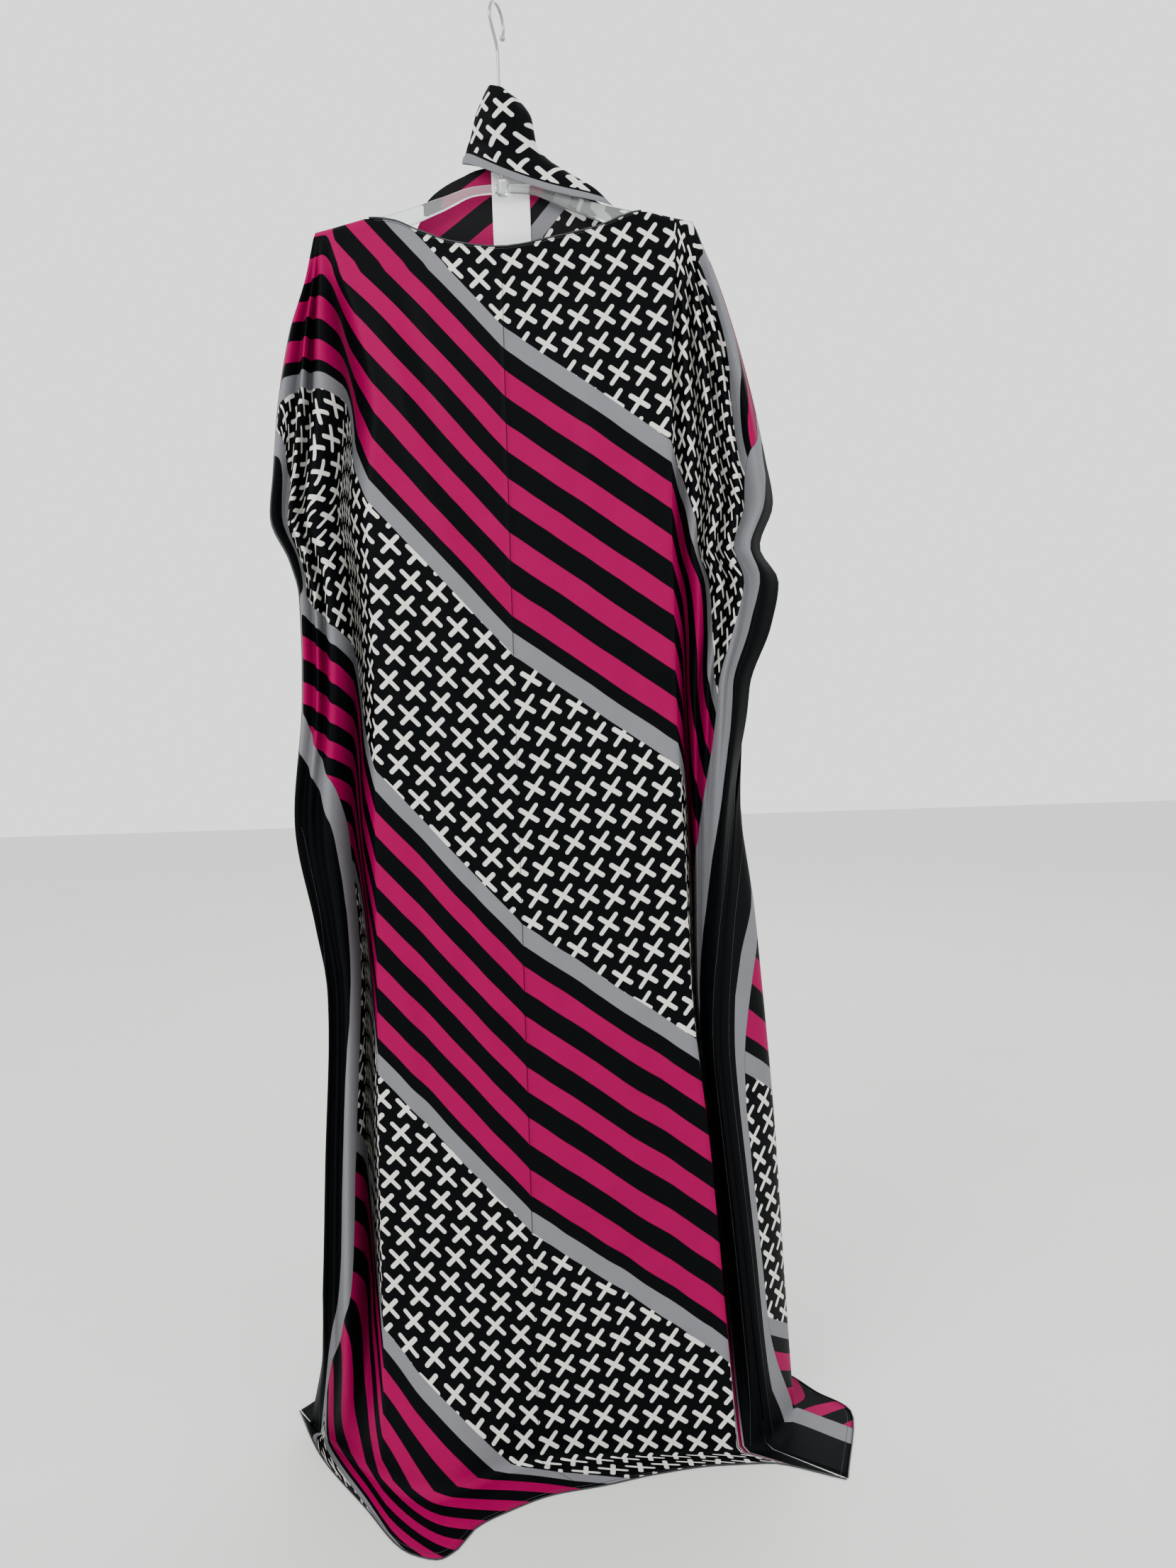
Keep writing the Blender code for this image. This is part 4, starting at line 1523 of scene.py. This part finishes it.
    def evened(self, lengths: np.ndarray, level_end: int) -> np.ndarray:
        """Even out the lengths of cloth from row to row, so that the print runs smoothly past the wing tips.

        Args:
            lengths: Length of cloth from the middle line, for every row and column.
            level_end: The first row that lies on the floor.

        Returns:
            The lengths, each level row blended with its neighbours above and below.
        """
        made = lengths.copy()
        first = len(self.top_shares)
        levels = lengths[first:level_end]
        near = np.arange(-self.even_reach, self.even_reach + 1)
        weights = np.exp(-0.5 * (near / self.even_rows) ** 2)
        weights /= weights.sum()
        index = np.clip(np.arange(len(levels))[:, None] + near[None, :], 0, len(levels) - 1)
        made[first:level_end] = np.einsum("k,ikj->ij", weights, levels[index])
        return made

    def border_shown(self, sign: float, z: float) -> float:
        """How much of a wing's border shows outside the tucked cloth at one height.

        Args:
            sign: -1 for the left wing, 1 for the right.
            z: The level.

        Returns:
            The width that shows.
        """
        widths = {(Face.FRONT, -1.0): self.tip_border, (Face.BACK, 1.0): self.tip_border_behind}
        fade_in, fade_out = self.tip_fade
        near_tip = ease((self.tip_from - z) / fade_in) * ease((z - self.tip_to) / fade_out)
        return widths.get((self.face, sign), 0.0) * near_tip

    def flat_place(self, sign: float, q: float, z: float) -> tuple[float, float]:
        """Where a point lies on the flat cloth.

        Args:
            sign: -1 for the left half, 1 for the right half.
            q: Length of cloth from the middle line, along a level.
            z: The point's height.

        Returns:
            The distances across from the middle line and down from the shoulder line.
        """
        drop = max(self.hang_z - z, 0.0005)
        if q <= self.hang_half:
            return sign * q, self.hang_z - self.sag * (1 - q / self.hang_half) - z
        angle = min((q - self.hang_half) / drop, math.pi / 2)
        return sign * (self.hang_half + drop * math.sin(angle)), drop * math.cos(angle)

    def tucked(self, sign: float, z: float) -> float:
        """How much cloth is tucked behind a wing's outer edge at one height."""
        column = (0 if self.face is Face.FRONT else 2) + (0 if sign < 0 else 1)
        return float(follow(TUCKED, z)[column])

    def depth_shares(
        self, points: np.ndarray, arc: np.ndarray, body: int, edge: int, shades: np.ndarray
    ) -> np.ndarray:
        """Share of the wing's spare cloth that lies inside each point, most of it deep in the folds.

        Args:
            points: One row of the panel.
            arc: Signed length of each point from the middle line.
            body: Column of the body line.
            edge: Column of the wing's edge.
            shades: The row's fold shades, which are filled in.

        Returns:
            A share from 0 at the body line to 1 at the edge, for every column.
        """
        step = 1 if edge > body else -1
        columns = list(range(body, edge + step, step))
        plane = points[body, 1]
        sizes = np.abs(np.diff(arc[columns]))
        depth = np.clip((points[columns, 1] - plane) / (-plane if abs(plane) > 1e-6 else 1.0), 0.0, 1.0)
        clear = self.edge_clear
        if self.face is Face.BACK and edge > body:
            clear += self.wrap_clear * ease((self.cuffs_below - points[edge, 2]) / self.wrap_fade)
        near_edge = np.clip((abs(arc[edge]) - np.abs(arc[columns]) - clear) / self.edge_fade, 0.0, 1.0)
        weight = (depth**self.valley_power + self.valley_base) * near_edge + 1e-6
        # painted shade: darker deep in the fold valleys, fading out near the wing's edge
        shades[columns, 0] = depth**self.shade_power * near_edge
        shares = np.zeros(len(points))
        inside = np.concatenate([[0.0], np.cumsum(sizes * (weight[1:] + weight[:-1]) / 2)])
        shares[columns] = inside / max(inside[-1], 1e-12)
        return shares

    def creased(self, rows: Rows) -> Rows:
        """The rows with the pressed middle line, the listed creases and a faint ripple.

        Args:
            rows: The smooth rows.

        Returns:
            The creased rows.
        """
        first, last = self.wing_columns(Wing.LEFT), len(rows[0]) - self.wing_columns(Wing.RIGHT) - 1
        (scale_x, scale_z), (high_fade, low_fade) = self.ripple_scale, self.crease_fade
        made = []
        for i, row in enumerate(rows):
            lying = i >= len(rows) - self.lying_rows
            new_row = []
            for j, (x, y, z) in enumerate(row):
                inside = clamp(min(j - first, last - j) / self.crease_columns_fade)
                if inside <= 0.0 or lying:
                    new_row.append((x, y, z))
                    continue
                fade = inside * ease((self.crease_from - z) / high_fade) * ease((z - FLOOR) / low_fade)
                out = sum(crease.height_at(x, z) for crease in self.creases)
                spot = Vector((x * scale_x, z * scale_z, 3.0 * self.face.way))
                out += self.ripple * noise.noise(spot)
                if self.face is Face.FRONT:
                    line = (x - self.form.crease_x(z)) / self.pressed_width
                    out += self.pressed_rise * math.exp(-(line**2))
                new_row.append((x, y + self.face.way * out * fade, z))
            made.append(new_row)
        return made

    def line_at(self, across: float, top: float, lift: float = 0.0005) -> list[Point]:
        """Path down the cloth at one distance from its middle line.

        Args:
            across: Signed distance from the middle on the flat cloth.
            top: Height where the path starts.
            lift: How far the path lies off the cloth.

        Returns:
            The path's points, down to where the cloth meets the floor.
        """
        count = len(self.rows[0])
        places = self.places.reshape(len(self.rows), count, 3)
        step = 1 if across > 0 else -1
        outward = step if self.face is Face.FRONT else -step
        path = []
        for i, row in enumerate(self.rows[: len(self.rows) - self.lying_rows]):
            for j in range(count - 1) if across > 0 else range(count - 1, 0, -1):
                low, high = places[i, j, 0], places[i, j + step, 0]
                if abs(low) <= abs(across) < abs(high) and row[j][2] < top:
                    k = (across - low) / (high - low)
                    a, b = Vector(row[j]), Vector(row[j + step])
                    way = Vector((b.y - a.y, a.x - b.x, 0.0)).normalized()
                    path.append(tuple(a.lerp(b, k) + way * outward * lift))
                    break
        return path

    def build(self) -> bpy.types.Object:
        """Make the panel's mesh.

        Returns:
            The panel, one sheet thick.
        """
        self.shape()
        rows = self.rows
        places = self.places.reshape(self.shades.shape)
        shades = self.shades
        if self.face is Face.BACK:
            rows = [row[::-1] for row in rows]
            places, shades = places[:, ::-1], shades[:, ::-1]
        piece = grid_object(self.name, rows)
        set_places(piece, places.reshape(-1, 3))
        set_places(piece, shades.reshape(-1, 3), "fold_shade")
        piece.data.shade_smooth()
        return piece

    def dress(self, piece: bpy.types.Object) -> None:
        """Give the panel its print, its wrong side and its thickness.

        Args:
            piece: The panel.
        """
        handed, shift = (1.0, 0.0) if self.face is Face.FRONT else (-1.0, self.back_shift)
        for wrong in (False, True):
            name = f"{self.face.value}_print" + ("_wrong_side" if wrong else "")
            # only the front has painted shade along its pressed middle crease
            pressed = 1.0 if self.face is Face.FRONT else 0.0
            finish = PrintedCloth(name, handed=handed, shift=shift, pressed=pressed, wrong_side=wrong)
            piece.data.materials.append(finish.material())
        thicken(piece, self.thickness, wrong_side=True)

    def declare(self, piece: bpy.types.Object) -> None:
        """Hang the panel on the root body and hide the solid it stands for.

        Args:
            piece: The panel.
        """
        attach(piece, "root")
        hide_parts(self.node)


@dataclass
class NeckEdge:
    """Narrow rolled hem along the front neck edge."""

    form: HangingForm
    radius: float = 0.0011
    uneven_scale: float = 90.0
    uneven_rise: float = 0.0003
    uneven_radius: float = 0.18
    rise: float = 0.0012
    end: float = 0.004
    points: int = 90

    def build(self) -> bpy.types.Object:
        """Make the rolled hem, slightly uneven along its length.

        Returns:
            The hem.
        """
        low, high = FRONT_NECK[0][0] + self.end, FRONT_NECK[-1][0] - self.end
        path, radii = [], []
        for i in range(self.points):
            x = low + (high - low) * i / (self.points - 1)
            _, y, z = self.form.body_point(Face.FRONT, x, 0.0, SHOULDER_JOIN)
            uneven = noise.noise(Vector((x * self.uneven_scale, 0.0, 1.7)))
            path.append((x, y, z + self.rise + self.uneven_rise * uneven))
            radii.append(self.radius * (1.0 + self.uneven_radius * uneven))
        return tube_object("neck_roll", path, radii, 8)

    def dress(self, piece: bpy.types.Object) -> None:
        """Give the hem its cloth, hang it on the root body and hide the solid it stands for.

        Args:
            piece: The hem.
        """
        piece.data.materials.append(PlainCloth("black_hem_cloth").material())
        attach(piece, "root")
        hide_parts("neck_edge")


@dataclass
class NeckDrape:
    """Piece of the printed cloth drawn up round the hook's stem, open at its foot and at its top."""

    sides: int = 120
    rings: int = 64
    middle_y: float = 0.0035
    back_rise: float = 0.004
    back_fall: float = 1.5
    right_narrowing: float = 0.45
    bluntness: float = 0.14
    hem_sag: float = 0.008
    thickness: float = 0.0006

    def ring(self, level: float) -> list[Point]:
        """One ring of the drape at a level from 0, its hem, to 1, its top.

        Args:
            level: The level.

        Returns:
            The ring's points.
        """
        left_x, left_z, right_x, right_z, depth = follow(DRAPE_RINGS, level * 8.0, falling=False)
        rise = self.back_rise * (1 - level)
        made = []
        for k in range(self.sides):
            angle = 2 * math.pi * k / self.sides
            across = (1 - math.cos(angle)) / 2
            front = math.sin(angle)
            fall = across if front > 0 else across**self.back_fall
            fold = math.sin(5.0 * angle + 4.0 * level) * 0.6 + math.sin(9.0 * angle - 7.0 * level + 1.0) * 0.4
            pleat = 1.0 + 0.055 * fold * (0.35 + level)
            narrow = 1.0 - self.right_narrowing * across**2 * (1 - level * 8.0 / 9.0)
            x = left_x + (right_x - left_x) * across
            z = left_z + (right_z - left_z) * fall + rise * max(0.0, -front)
            z -= self.hem_sag * max(0.0, front) * math.sin(math.pi * across) * (1 - level) ** 3
            y = self.middle_y - depth * narrow * front * (1 - self.bluntness * (1 - abs(front))) * pleat
            made.append((float(x), float(y), float(z)))
        return made

    def build(self) -> bpy.types.Object:
        """Make the drape's mesh with its places on the flat cloth.

        Returns:
            The drape, one sheet thick.
        """
        rows = [self.ring(1 - i / self.rings)[::-1] for i in range(self.rings + 1)]
        piece = grid_object("neck_drape_cloth", rows, closed=True)
        places = []
        for i, row in enumerate(rows):
            points = np.array(row)
            for j, (x, y, z) in enumerate(row):
                hem = np.linalg.norm(np.array(rows[-1][j]) - points[j])
                front = -1.0 if y < self.middle_y else 1.0
                places.append((x - 0.9 * front * abs(y - self.middle_y), -z, hem))
        set_places(piece, np.array(places))
        piece.data.shade_smooth()
        return piece

    def dress(self, piece: bpy.types.Object) -> None:
        """Give the drape its print and thickness, hang it on the root body and hide the solid it stands for.

        Args:
            piece: The drape.
        """
        piece.data.materials.append(DrapeCloth("drape_print").material())
        thicken(piece, self.thickness)
        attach(piece, "root")
        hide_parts("neck_drape")


@dataclass(frozen=True)
class DrapeCloth(PrintedCloth):
    """The printed cloth of the neck drape, with a grey line along its hem."""

    bands: float = 0.0
    roughness: float = 0.42
    ivory_roughness: float = 0.0
    line_low: float = -0.001
    line_high: float = 0.0112
    black_over: float = 0.003

    def finished(self, sketch: NodeSketch, printed: object, tone: object, place: object) -> Socket:
        """Add the black hem and its grey line to the print.

        Args:
            sketch: The material's sketch.
            printed: The print's colour.
            tone: The weave's tone.
            place: Where on the flat cloth the print is; its third part is the length from the hem.

        Returns:
            The cloth's colour.
        """
        _, _, from_hem = sketch.split(place)
        foot = sketch.sum("LESS_THAN", from_hem, self.line_high + self.black_over)
        colour = sketch.blend(foot, printed, self.black)
        colour = sketch.blend(sketch.band(from_hem, self.line_low, self.line_high), colour, self.grey)
        return sketch.toned(colour, tone)


@dataclass
class BlankLabel:
    """Blank woven label on the inner face of the back panel, with a slight curl."""

    form: HangingForm
    width: float = 0.0425
    centre_x: float = 0.0085
    top: float = -0.1720
    foot: float = -0.2610
    clearance: float = 0.0016
    thickness: float = 0.0008
    rows: int = 40
    columns: int = 22
    curl: float = 0.0005
    stitch_inset: float = 0.004
    stitch_points: int = 24

    def back_y(self, x: float, z: float) -> float:
        """The y of the back panel behind a place of the label."""
        top = self.form.neck_height(Face.BACK, x)
        return self.form.body_point(Face.BACK, x, (z - top) / (SHOULDER_JOIN - top), SHOULDER_JOIN)[1]

    def build(self) -> bpy.types.Object:
        """Make the label with a slight curl.

        Returns:
            The label.
        """
        rows = []
        for i in range(self.rows + 1):
            k = i / self.rows
            z = self.top + (self.foot - self.top) * k
            row = []
            for c in range(self.columns + 1):
                u = c / self.columns - 0.5
                x = self.centre_x + self.width * u
                curl = self.curl * math.cos(2 * math.pi * u) * math.sin(math.pi * k)
                row.append((x, self.back_y(x, z) - self.clearance - curl, z))
            rows.append(row)
        piece = grid_object("blank_label", rows)
        thicken(piece, self.thickness)
        piece.data.shade_smooth()
        return piece

    def stitch_path(self) -> list[Point]:
        """Line of the stitches that hold the label, near its top edge.

        Returns:
            The line's points.
        """
        z = self.top - self.stitch_inset
        path = []
        for i in range(self.stitch_points):
            share = i / (self.stitch_points - 1) - 0.5
            x = self.centre_x + (self.width - self.stitch_inset) * share
            path.append((x, self.back_y(x, z) - self.clearance - self.thickness / 2 - 0.0002, z))
        return path

    def dress(self, piece: bpy.types.Object) -> None:
        """Give the label its tape, hang it on the root body and hide the solid it stands for.

        Args:
            piece: The label.
        """
        white = (0.90, 0.90, 0.90, 1.0)
        finish = PlainCloth("white_label_tape", colour=white, roughness=0.62, threads=4200.0)
        piece.data.materials.append(finish.material())
        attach(piece, "root")
        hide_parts("label")


@dataclass
class ClearHanger:
    """Moulded clear hanger: two arms with oval sections and a round boss for the hook."""

    depth: float = 0.0036
    boss_radius: float = 0.0065
    boss_length: float = 0.016
    boss_z: float = -0.1935
    stations: int = 44
    sides: int = 24

    def build(self) -> bpy.types.Object:
        """Make the hanger's closed mesh.

        Returns:
            The hanger.
        """
        last = ARM_SECTIONS[-1][0]
        rows = []
        for i in range(-self.stations, self.stations + 1):
            x = last * i / self.stations
            top, height = follow(ARM_SECTIONS, abs(x), falling=False)
            ring = []
            for k in range(self.sides):
                angle = 2 * math.pi * k / self.sides
                z = top - height / 2 + height / 2 * math.sin(angle)
                ring.append((x, self.depth * math.cos(angle), float(z)))
            rows.append(ring)
        piece = grid_object("hanger", rows, closed=True)
        cap_and_orient(piece)
        half = self.boss_length / 2
        path = [(0.0, 0.0, self.boss_z - half + self.boss_length * i / 10) for i in range(11)]
        radii = [self.boss_radius * (0.90 if i in (0, 10) else 1.0) for i in range(11)]
        boss = tube_object("hanger_boss_shape", path, radii, 32)
        join = piece.modifiers.new("boss", "BOOLEAN")
        join.operation = "UNION"
        join.object = boss
        plain_mesh(piece)
        drop(boss)
        piece.data.shade_smooth()
        return piece

    def dress(self, piece: bpy.types.Object) -> None:
        """Give the hanger its plastic, hang it on the root body and hide the solid it stands for.

        Args:
            piece: The hanger.
        """
        piece.data.materials.clear()
        piece.data.materials.append(ClearPlastic("clear_plastic").material())
        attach(piece, "root")
        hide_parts("hanger_body")


@dataclass
class WireHook:
    """Bent wire hook with a small ball on its tip."""

    wire_radius: float = 0.0019
    hook_radius: float = 0.0185
    turn: float = math.radians(20)
    tip_degrees: float = 215.0
    fall: float = 0.034
    ball_radius: float = 0.0034
    stem_foot: float = -0.1852

    def path(self) -> list[Point]:
        """Centre line of the wire from its tip, over the rail, down to its foot.

        Returns:
            The line's points.
        """
        centre_z = self.wire_radius - self.hook_radius
        points = []
        for degrees in np.linspace(-(self.tip_degrees - 180), 180.0, 54):
            angle = math.radians(degrees)
            points.append((self.hook_radius * math.cos(angle), centre_z + self.hook_radius * math.sin(angle)))
        for k in range(1, 19):
            u = k / 18
            points.append((-self.hook_radius * (0.5 + 0.5 * math.cos(math.pi * u)), centre_z - self.fall * u))
        low = points[-1][1]
        points += [(0.0, low + (self.stem_foot - low) * k / 12) for k in range(1, 13)]
        return [(float(u * math.sin(self.turn)), float(u * math.cos(self.turn)), float(z)) for u, z in points]

    def build(self) -> bpy.types.Object:
        """Make the wire and its ball.

        Returns:
            The hook.
        """
        path = self.path()
        piece = tube_object("wire_hook", path, self.wire_radius, 14)
        build = bmesh.new()
        build.from_mesh(piece.data)
        place = Matrix.Translation(path[0])
        bmesh.ops.create_uvsphere(build, u_segments=24, v_segments=16, radius=self.ball_radius, matrix=place)
        build.to_mesh(piece.data)
        build.free()
        piece.data.shade_smooth()
        return piece

    def dress(self, piece: bpy.types.Object) -> None:
        """Give the hook its plating, hang it on the root body and hide the solid it stands for.

        Args:
            piece: The hook.
        """
        piece.data.materials.append(BrightWire("bright_wire").material())
        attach(piece, "root")
        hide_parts("hanger_hook")


@dataclass
class StitchLine:
    """Rows of machine stitches along paths, made with Geometry Nodes."""

    name: str
    pitch: float = 0.0034
    stitch_length: float = 0.0026
    thread_radius: float = 0.00022
    seed: int = 7

    def tree(self) -> bpy.types.NodeTree:
        """The stitching tree: a path's points in, thread stitches out.

        Returns:
            The tree.
        """
        found = bpy.data.node_groups.get("stitch_row")
        if found:
            return found
        tree = bpy.data.node_groups.new("stitch_row", "GeometryNodeTree")
        tree.interface.new_socket("Geometry", in_out="INPUT", socket_type="NodeSocketGeometry")
        for label, value in (("Pitch", 0.0034), ("Stitch Length", 0.0026), ("Thread Radius", 0.00022)):
            socket = tree.interface.new_socket(label, in_out="INPUT", socket_type="NodeSocketFloat")
            socket.default_value = value
        tree.interface.new_socket("Seed", in_out="INPUT", socket_type="NodeSocketInt")
        tree.interface.new_socket("Thread", in_out="INPUT", socket_type="NodeSocketMaterial")
        tree.interface.new_socket("Geometry", in_out="OUTPUT", socket_type="NodeSocketGeometry")
        sketch = NodeSketch(tree)
        given = sketch.node("NodeGroupInput").outputs
        curve = sketch.node("GeometryNodeMeshToCurve")
        sketch.link(given["Geometry"], curve.inputs["Mesh"])
        spaced = sketch.node("GeometryNodeResampleCurve", mode="LENGTH")
        sketch.link(curve.outputs["Curve"], spaced.inputs["Curve"])
        sketch.link(given["Pitch"], spaced.inputs["Length"])
        stitch = sketch.node("GeometryNodeMeshCylinder")
        stitch.inputs["Vertices"].default_value = 5
        sketch.link(given["Thread Radius"], stitch.inputs["Radius"])
        sketch.link(given["Stitch Length"], stitch.inputs["Depth"])
        tangent = sketch.node("GeometryNodeInputTangent")
        align = sketch.node("FunctionNodeAlignRotationToVector", axis="Z")
        sketch.link(tangent.outputs["Tangent"], align.inputs["Vector"])
        scatter = sketch.node("FunctionNodeRandomValue", data_type="FLOAT")
        scatter.inputs[2].default_value = 0.90
        scatter.inputs[3].default_value = 1.08
        sketch.link(given["Seed"], scatter.inputs["Seed"])
        placed = sketch.node("GeometryNodeInstanceOnPoints")
        sketch.link(spaced.outputs["Curve"], placed.inputs["Points"])
        sketch.link(stitch.outputs["Mesh"], placed.inputs["Instance"])
        sketch.link(align.outputs["Rotation"], placed.inputs["Rotation"])
        sketch.link(scatter.outputs[1], placed.inputs["Scale"])
        realized = sketch.node("GeometryNodeRealizeInstances")
        sketch.link(placed.outputs["Instances"], realized.inputs["Geometry"])
        dressed = sketch.node("GeometryNodeSetMaterial")
        sketch.link(realized.outputs["Geometry"], dressed.inputs["Geometry"])
        sketch.link(given["Thread"], dressed.inputs["Material"])
        sketch.link(dressed.outputs["Geometry"], sketch.node("NodeGroupOutput").inputs["Geometry"])
        return tree

    def build(self, paths: Sequence[Sequence[Point]], thread: bpy.types.Material) -> bpy.types.Object:
        """Sew along each path.

        Args:
            paths: The stitch lines.
            thread: The thread's material.

        Returns:
            One plain mesh of all the stitches.
        """
        points = [p for path in paths for p in path]
        edges, first = [], 0
        for path in paths:
            edges += [(first + i, first + i + 1) for i in range(len(path) - 1)]
            first += len(path)
        mesh = bpy.data.meshes.new(self.name)
        mesh.from_pydata(points, edges, [])
        piece = scene_object(self.name, mesh)
        tree = self.tree()
        sewn = piece.modifiers.new("stitches", "NODES")
        sewn.node_group = tree
        sizes = {
            "Pitch": self.pitch,
            "Stitch Length": self.stitch_length,
            "Thread Radius": self.thread_radius,
            "Seed": self.seed,
            "Thread": thread,
        }
        for item in tree.interface.items_tree:
            if item.item_type == "SOCKET" and item.in_out == "INPUT" and item.name in sizes:
                sewn[item.identifier] = sizes[item.name]
        plain_mesh(piece)
        return piece


@dataclass
class Sewing:
    """The dress's stitch lines and rolled hems."""

    front: ClothPanel
    back: ClothPanel
    label: BlankLabel
    seam_across: float = 0.516
    hem_lift: float = 0.0006
    neck_reach: tuple[float, float] = (-0.146, 0.148)
    neck_points: int = 80
    neck_drop: float = 0.0015
    hem_radius: float = 0.0008

    def side_paths(self) -> list[list[Point]]:
        """Stitch lines down both side borders of both panels, below the open cuffs.

        Returns:
            The four lines.
        """
        paths = []
        for panel in (self.front, self.back):
            for sign in (-1.0, 1.0):
                paths.append(panel.line_at(sign * self.seam_across, panel.form.cuff_end))
        return [path for path in paths if len(path) > 2]

    def hem_paths(self, inset: int) -> list[list[Point]]:
        """Lines along both hems, a number of rows in from the edge."""
        rows = [panel.rows[-1 - inset] for panel in (self.front, self.back)]
        return [[(x, y, z + self.hem_lift) for x, y, z in row] for row in rows]

    def neck_path(self) -> list[Point]:
        """Stitch line just under the front neck's rolled hem.

        Returns:
            The line's points.
        """
        path = []
        for x in np.linspace(*self.neck_reach, self.neck_points):
            x, y, z = self.front.form.body_point(Face.FRONT, float(x), 0.0, SHOULDER_JOIN)
            path.append((x, y - self.hem_lift, z - self.neck_drop))
        return path

    def build(self) -> list[bpy.types.Object]:
        """Make the stitches and the rolled hems.

        Returns:
            The new pieces.
        """
        dark = PlainCloth("black_thread", colour=(0.03, 0.03, 0.035, 1.0), roughness=0.5).material()
        pale = PlainCloth("white_thread", colour=(0.70, 0.70, 0.70, 1.0), roughness=0.5).material()
        side = StitchLine("side_stitches").build(self.side_paths(), dark)
        hem = StitchLine("hem_stitches", pitch=0.0032, seed=11).build(self.hem_paths(1), dark)
        neck = StitchLine("neck_stitches", pitch=0.0030, seed=3).build([self.neck_path()], dark)
        tag = StitchLine("label_stitches", pitch=0.0026, stitch_length=0.0019, seed=5).build(
            [self.label.stitch_path()], pale
        )
        pieces = [side, hem, neck, tag]
        for panel, path in zip((self.front, self.back), self.hem_paths(0)):
            roll = tube_object(f"{panel.face.value}_hem_roll", path, self.hem_radius, 6)
            roll.data.materials.append(PlainCloth(f"{panel.face.value}_hem_cloth").material())
            pieces.append(roll)
        for piece in pieces:
            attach(piece, "root")
        return pieces


# --- the studio ---------------------------------------------------------------------------------------


@dataclass
class Studio:
    """Plain pale floor, soft light and the photograph's camera."""

    camera_place: Point = (0.0704, -1.378, -0.7359)
    right: Point = (0.9995, -0.00616, -0.03112)
    up: Point = (0.03157, 0.09478, 0.995)
    forward: Point = (0.00318, 0.99548, -0.09492)
    lens: float = 27.03
    floor_half: float = 6.0
    floor_drop: float = 0.0002
    floor_roughness: float = 0.55
    floor_colour: Colour = (0.72, 0.72, 0.70, 1.0)
    sky_colour: Colour = (0.86, 0.875, 0.87, 1.0)
    sky_strength: float = 1.95

    def floor(self) -> bpy.types.Object:
        """Make the floor.

        Returns:
            The floor.
        """
        half = self.floor_half
        z = FLOOR - self.floor_drop
        corners = [(-half, -half, z), (half, -half, z), (half, half, z), (-half, half, z)]
        piece = mesh_object("pale_floor", corners, [(0, 1, 2, 3)])
        material, sketch, shader = Finish("pale_floor").start()
        mottle = sketch.noise(sketch.object_place(), 5.0, 6.0)
        tone = sketch.sum("MULTIPLY_ADD", mottle, 0.06, 0.90)
        sketch.link(sketch.toned(self.floor_colour, tone), shader.inputs["Base Color"])
        shader.inputs["Roughness"].default_value = self.floor_roughness
        piece.data.materials.append(material)
        return piece

    def camera(self) -> bpy.types.Object:
        """Make the camera at the photograph's place and angle.

        Returns:
            The camera.
        """
        data = bpy.data.cameras.new("photo_camera")
        data.lens = self.lens
        data.sensor_width = 36.0
        data.clip_start = 0.01
        made = scene_object("photo_camera", data)
        turn = Matrix((self.right, self.up, tuple(-v for v in self.forward))).transposed()
        made.matrix_world = Matrix.Translation(self.camera_place) @ turn.to_4x4()
        bpy.context.scene.camera = made
        return made

    def area(self, name: str, place: Point, aim: Point, size: float, power: float) -> None:
        """Make one soft area light that faces a point.

        Args:
            name: The light's name.
            place: Where it stands.
            aim: The point it faces.
            size: Length of its side, in metres.
            power: Its power, in watts.
        """
        data = bpy.data.lights.new(name, "AREA")
        data.shape = "SQUARE"
        data.size = size
        data.energy = power
        made = scene_object(name, data)
        made.location = place
        made.rotation_euler = (Vector(aim) - Vector(place)).to_track_quat("-Z", "Y").to_euler()

    def lights(self) -> None:
        """Make the soft studio light."""
        world = bpy.data.worlds.new("pale_studio")
        world.use_nodes = True
        ground = world.node_tree.nodes["Background"]
        ground.inputs["Color"].default_value = self.sky_colour
        ground.inputs["Strength"].default_value = self.sky_strength
        bpy.context.scene.world = world
        self.area("window_light", (-1.9, -2.4, 1.2), (0.0, 0.0, -0.8), 1.8, 90.0)
        self.area("fill_light", (2.2, -1.6, 0.3), (0.0, 0.0, -0.9), 1.6, 18.0)
        self.area("back_light", (0.8, 2.4, 1.2), (0.0, 0.0, -0.8), 1.8, 35.0)

    def build(self) -> None:
        """Make the whole studio."""
        self.floor()
        self.lights()
        self.camera()


def main() -> None:
    """Build and dress every piece in order, and log their sizes."""
    logging.basicConfig(level=logging.INFO, format="%(name)s: %(message)s")
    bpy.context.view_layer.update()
    form = HangingForm()
    hanger = ClearHanger()
    hook = WireHook()
    for maker in (hanger, hook):
        piece = maker.build()
        maker.dress(piece)
        log.info("%s: %d faces", piece.name, len(piece.data.polygons))
    panels = []
    for face in Face:
        panel = ClothPanel(face, form)
        piece = panel.build()
        panel.dress(piece)
        panel.declare(piece)
        panels.append(panel)
        area = sum(polygon.area for polygon in piece.data.polygons) / 2
        log.info("%s: %d faces, %.3f m2 of cloth", piece.name, len(piece.data.polygons), area)
    label = BlankLabel(form)
    for maker in (NeckEdge(form), NeckDrape(), label):
        piece = maker.build()
        maker.dress(piece)
        log.info("%s: %d faces", piece.name, len(piece.data.polygons))
    for piece in Sewing(panels[0], panels[1], label).build():
        log.info("%s: %d faces", piece.name, len(piece.data.polygons))
    Studio().build()


if __name__ == "__main__":
    main()
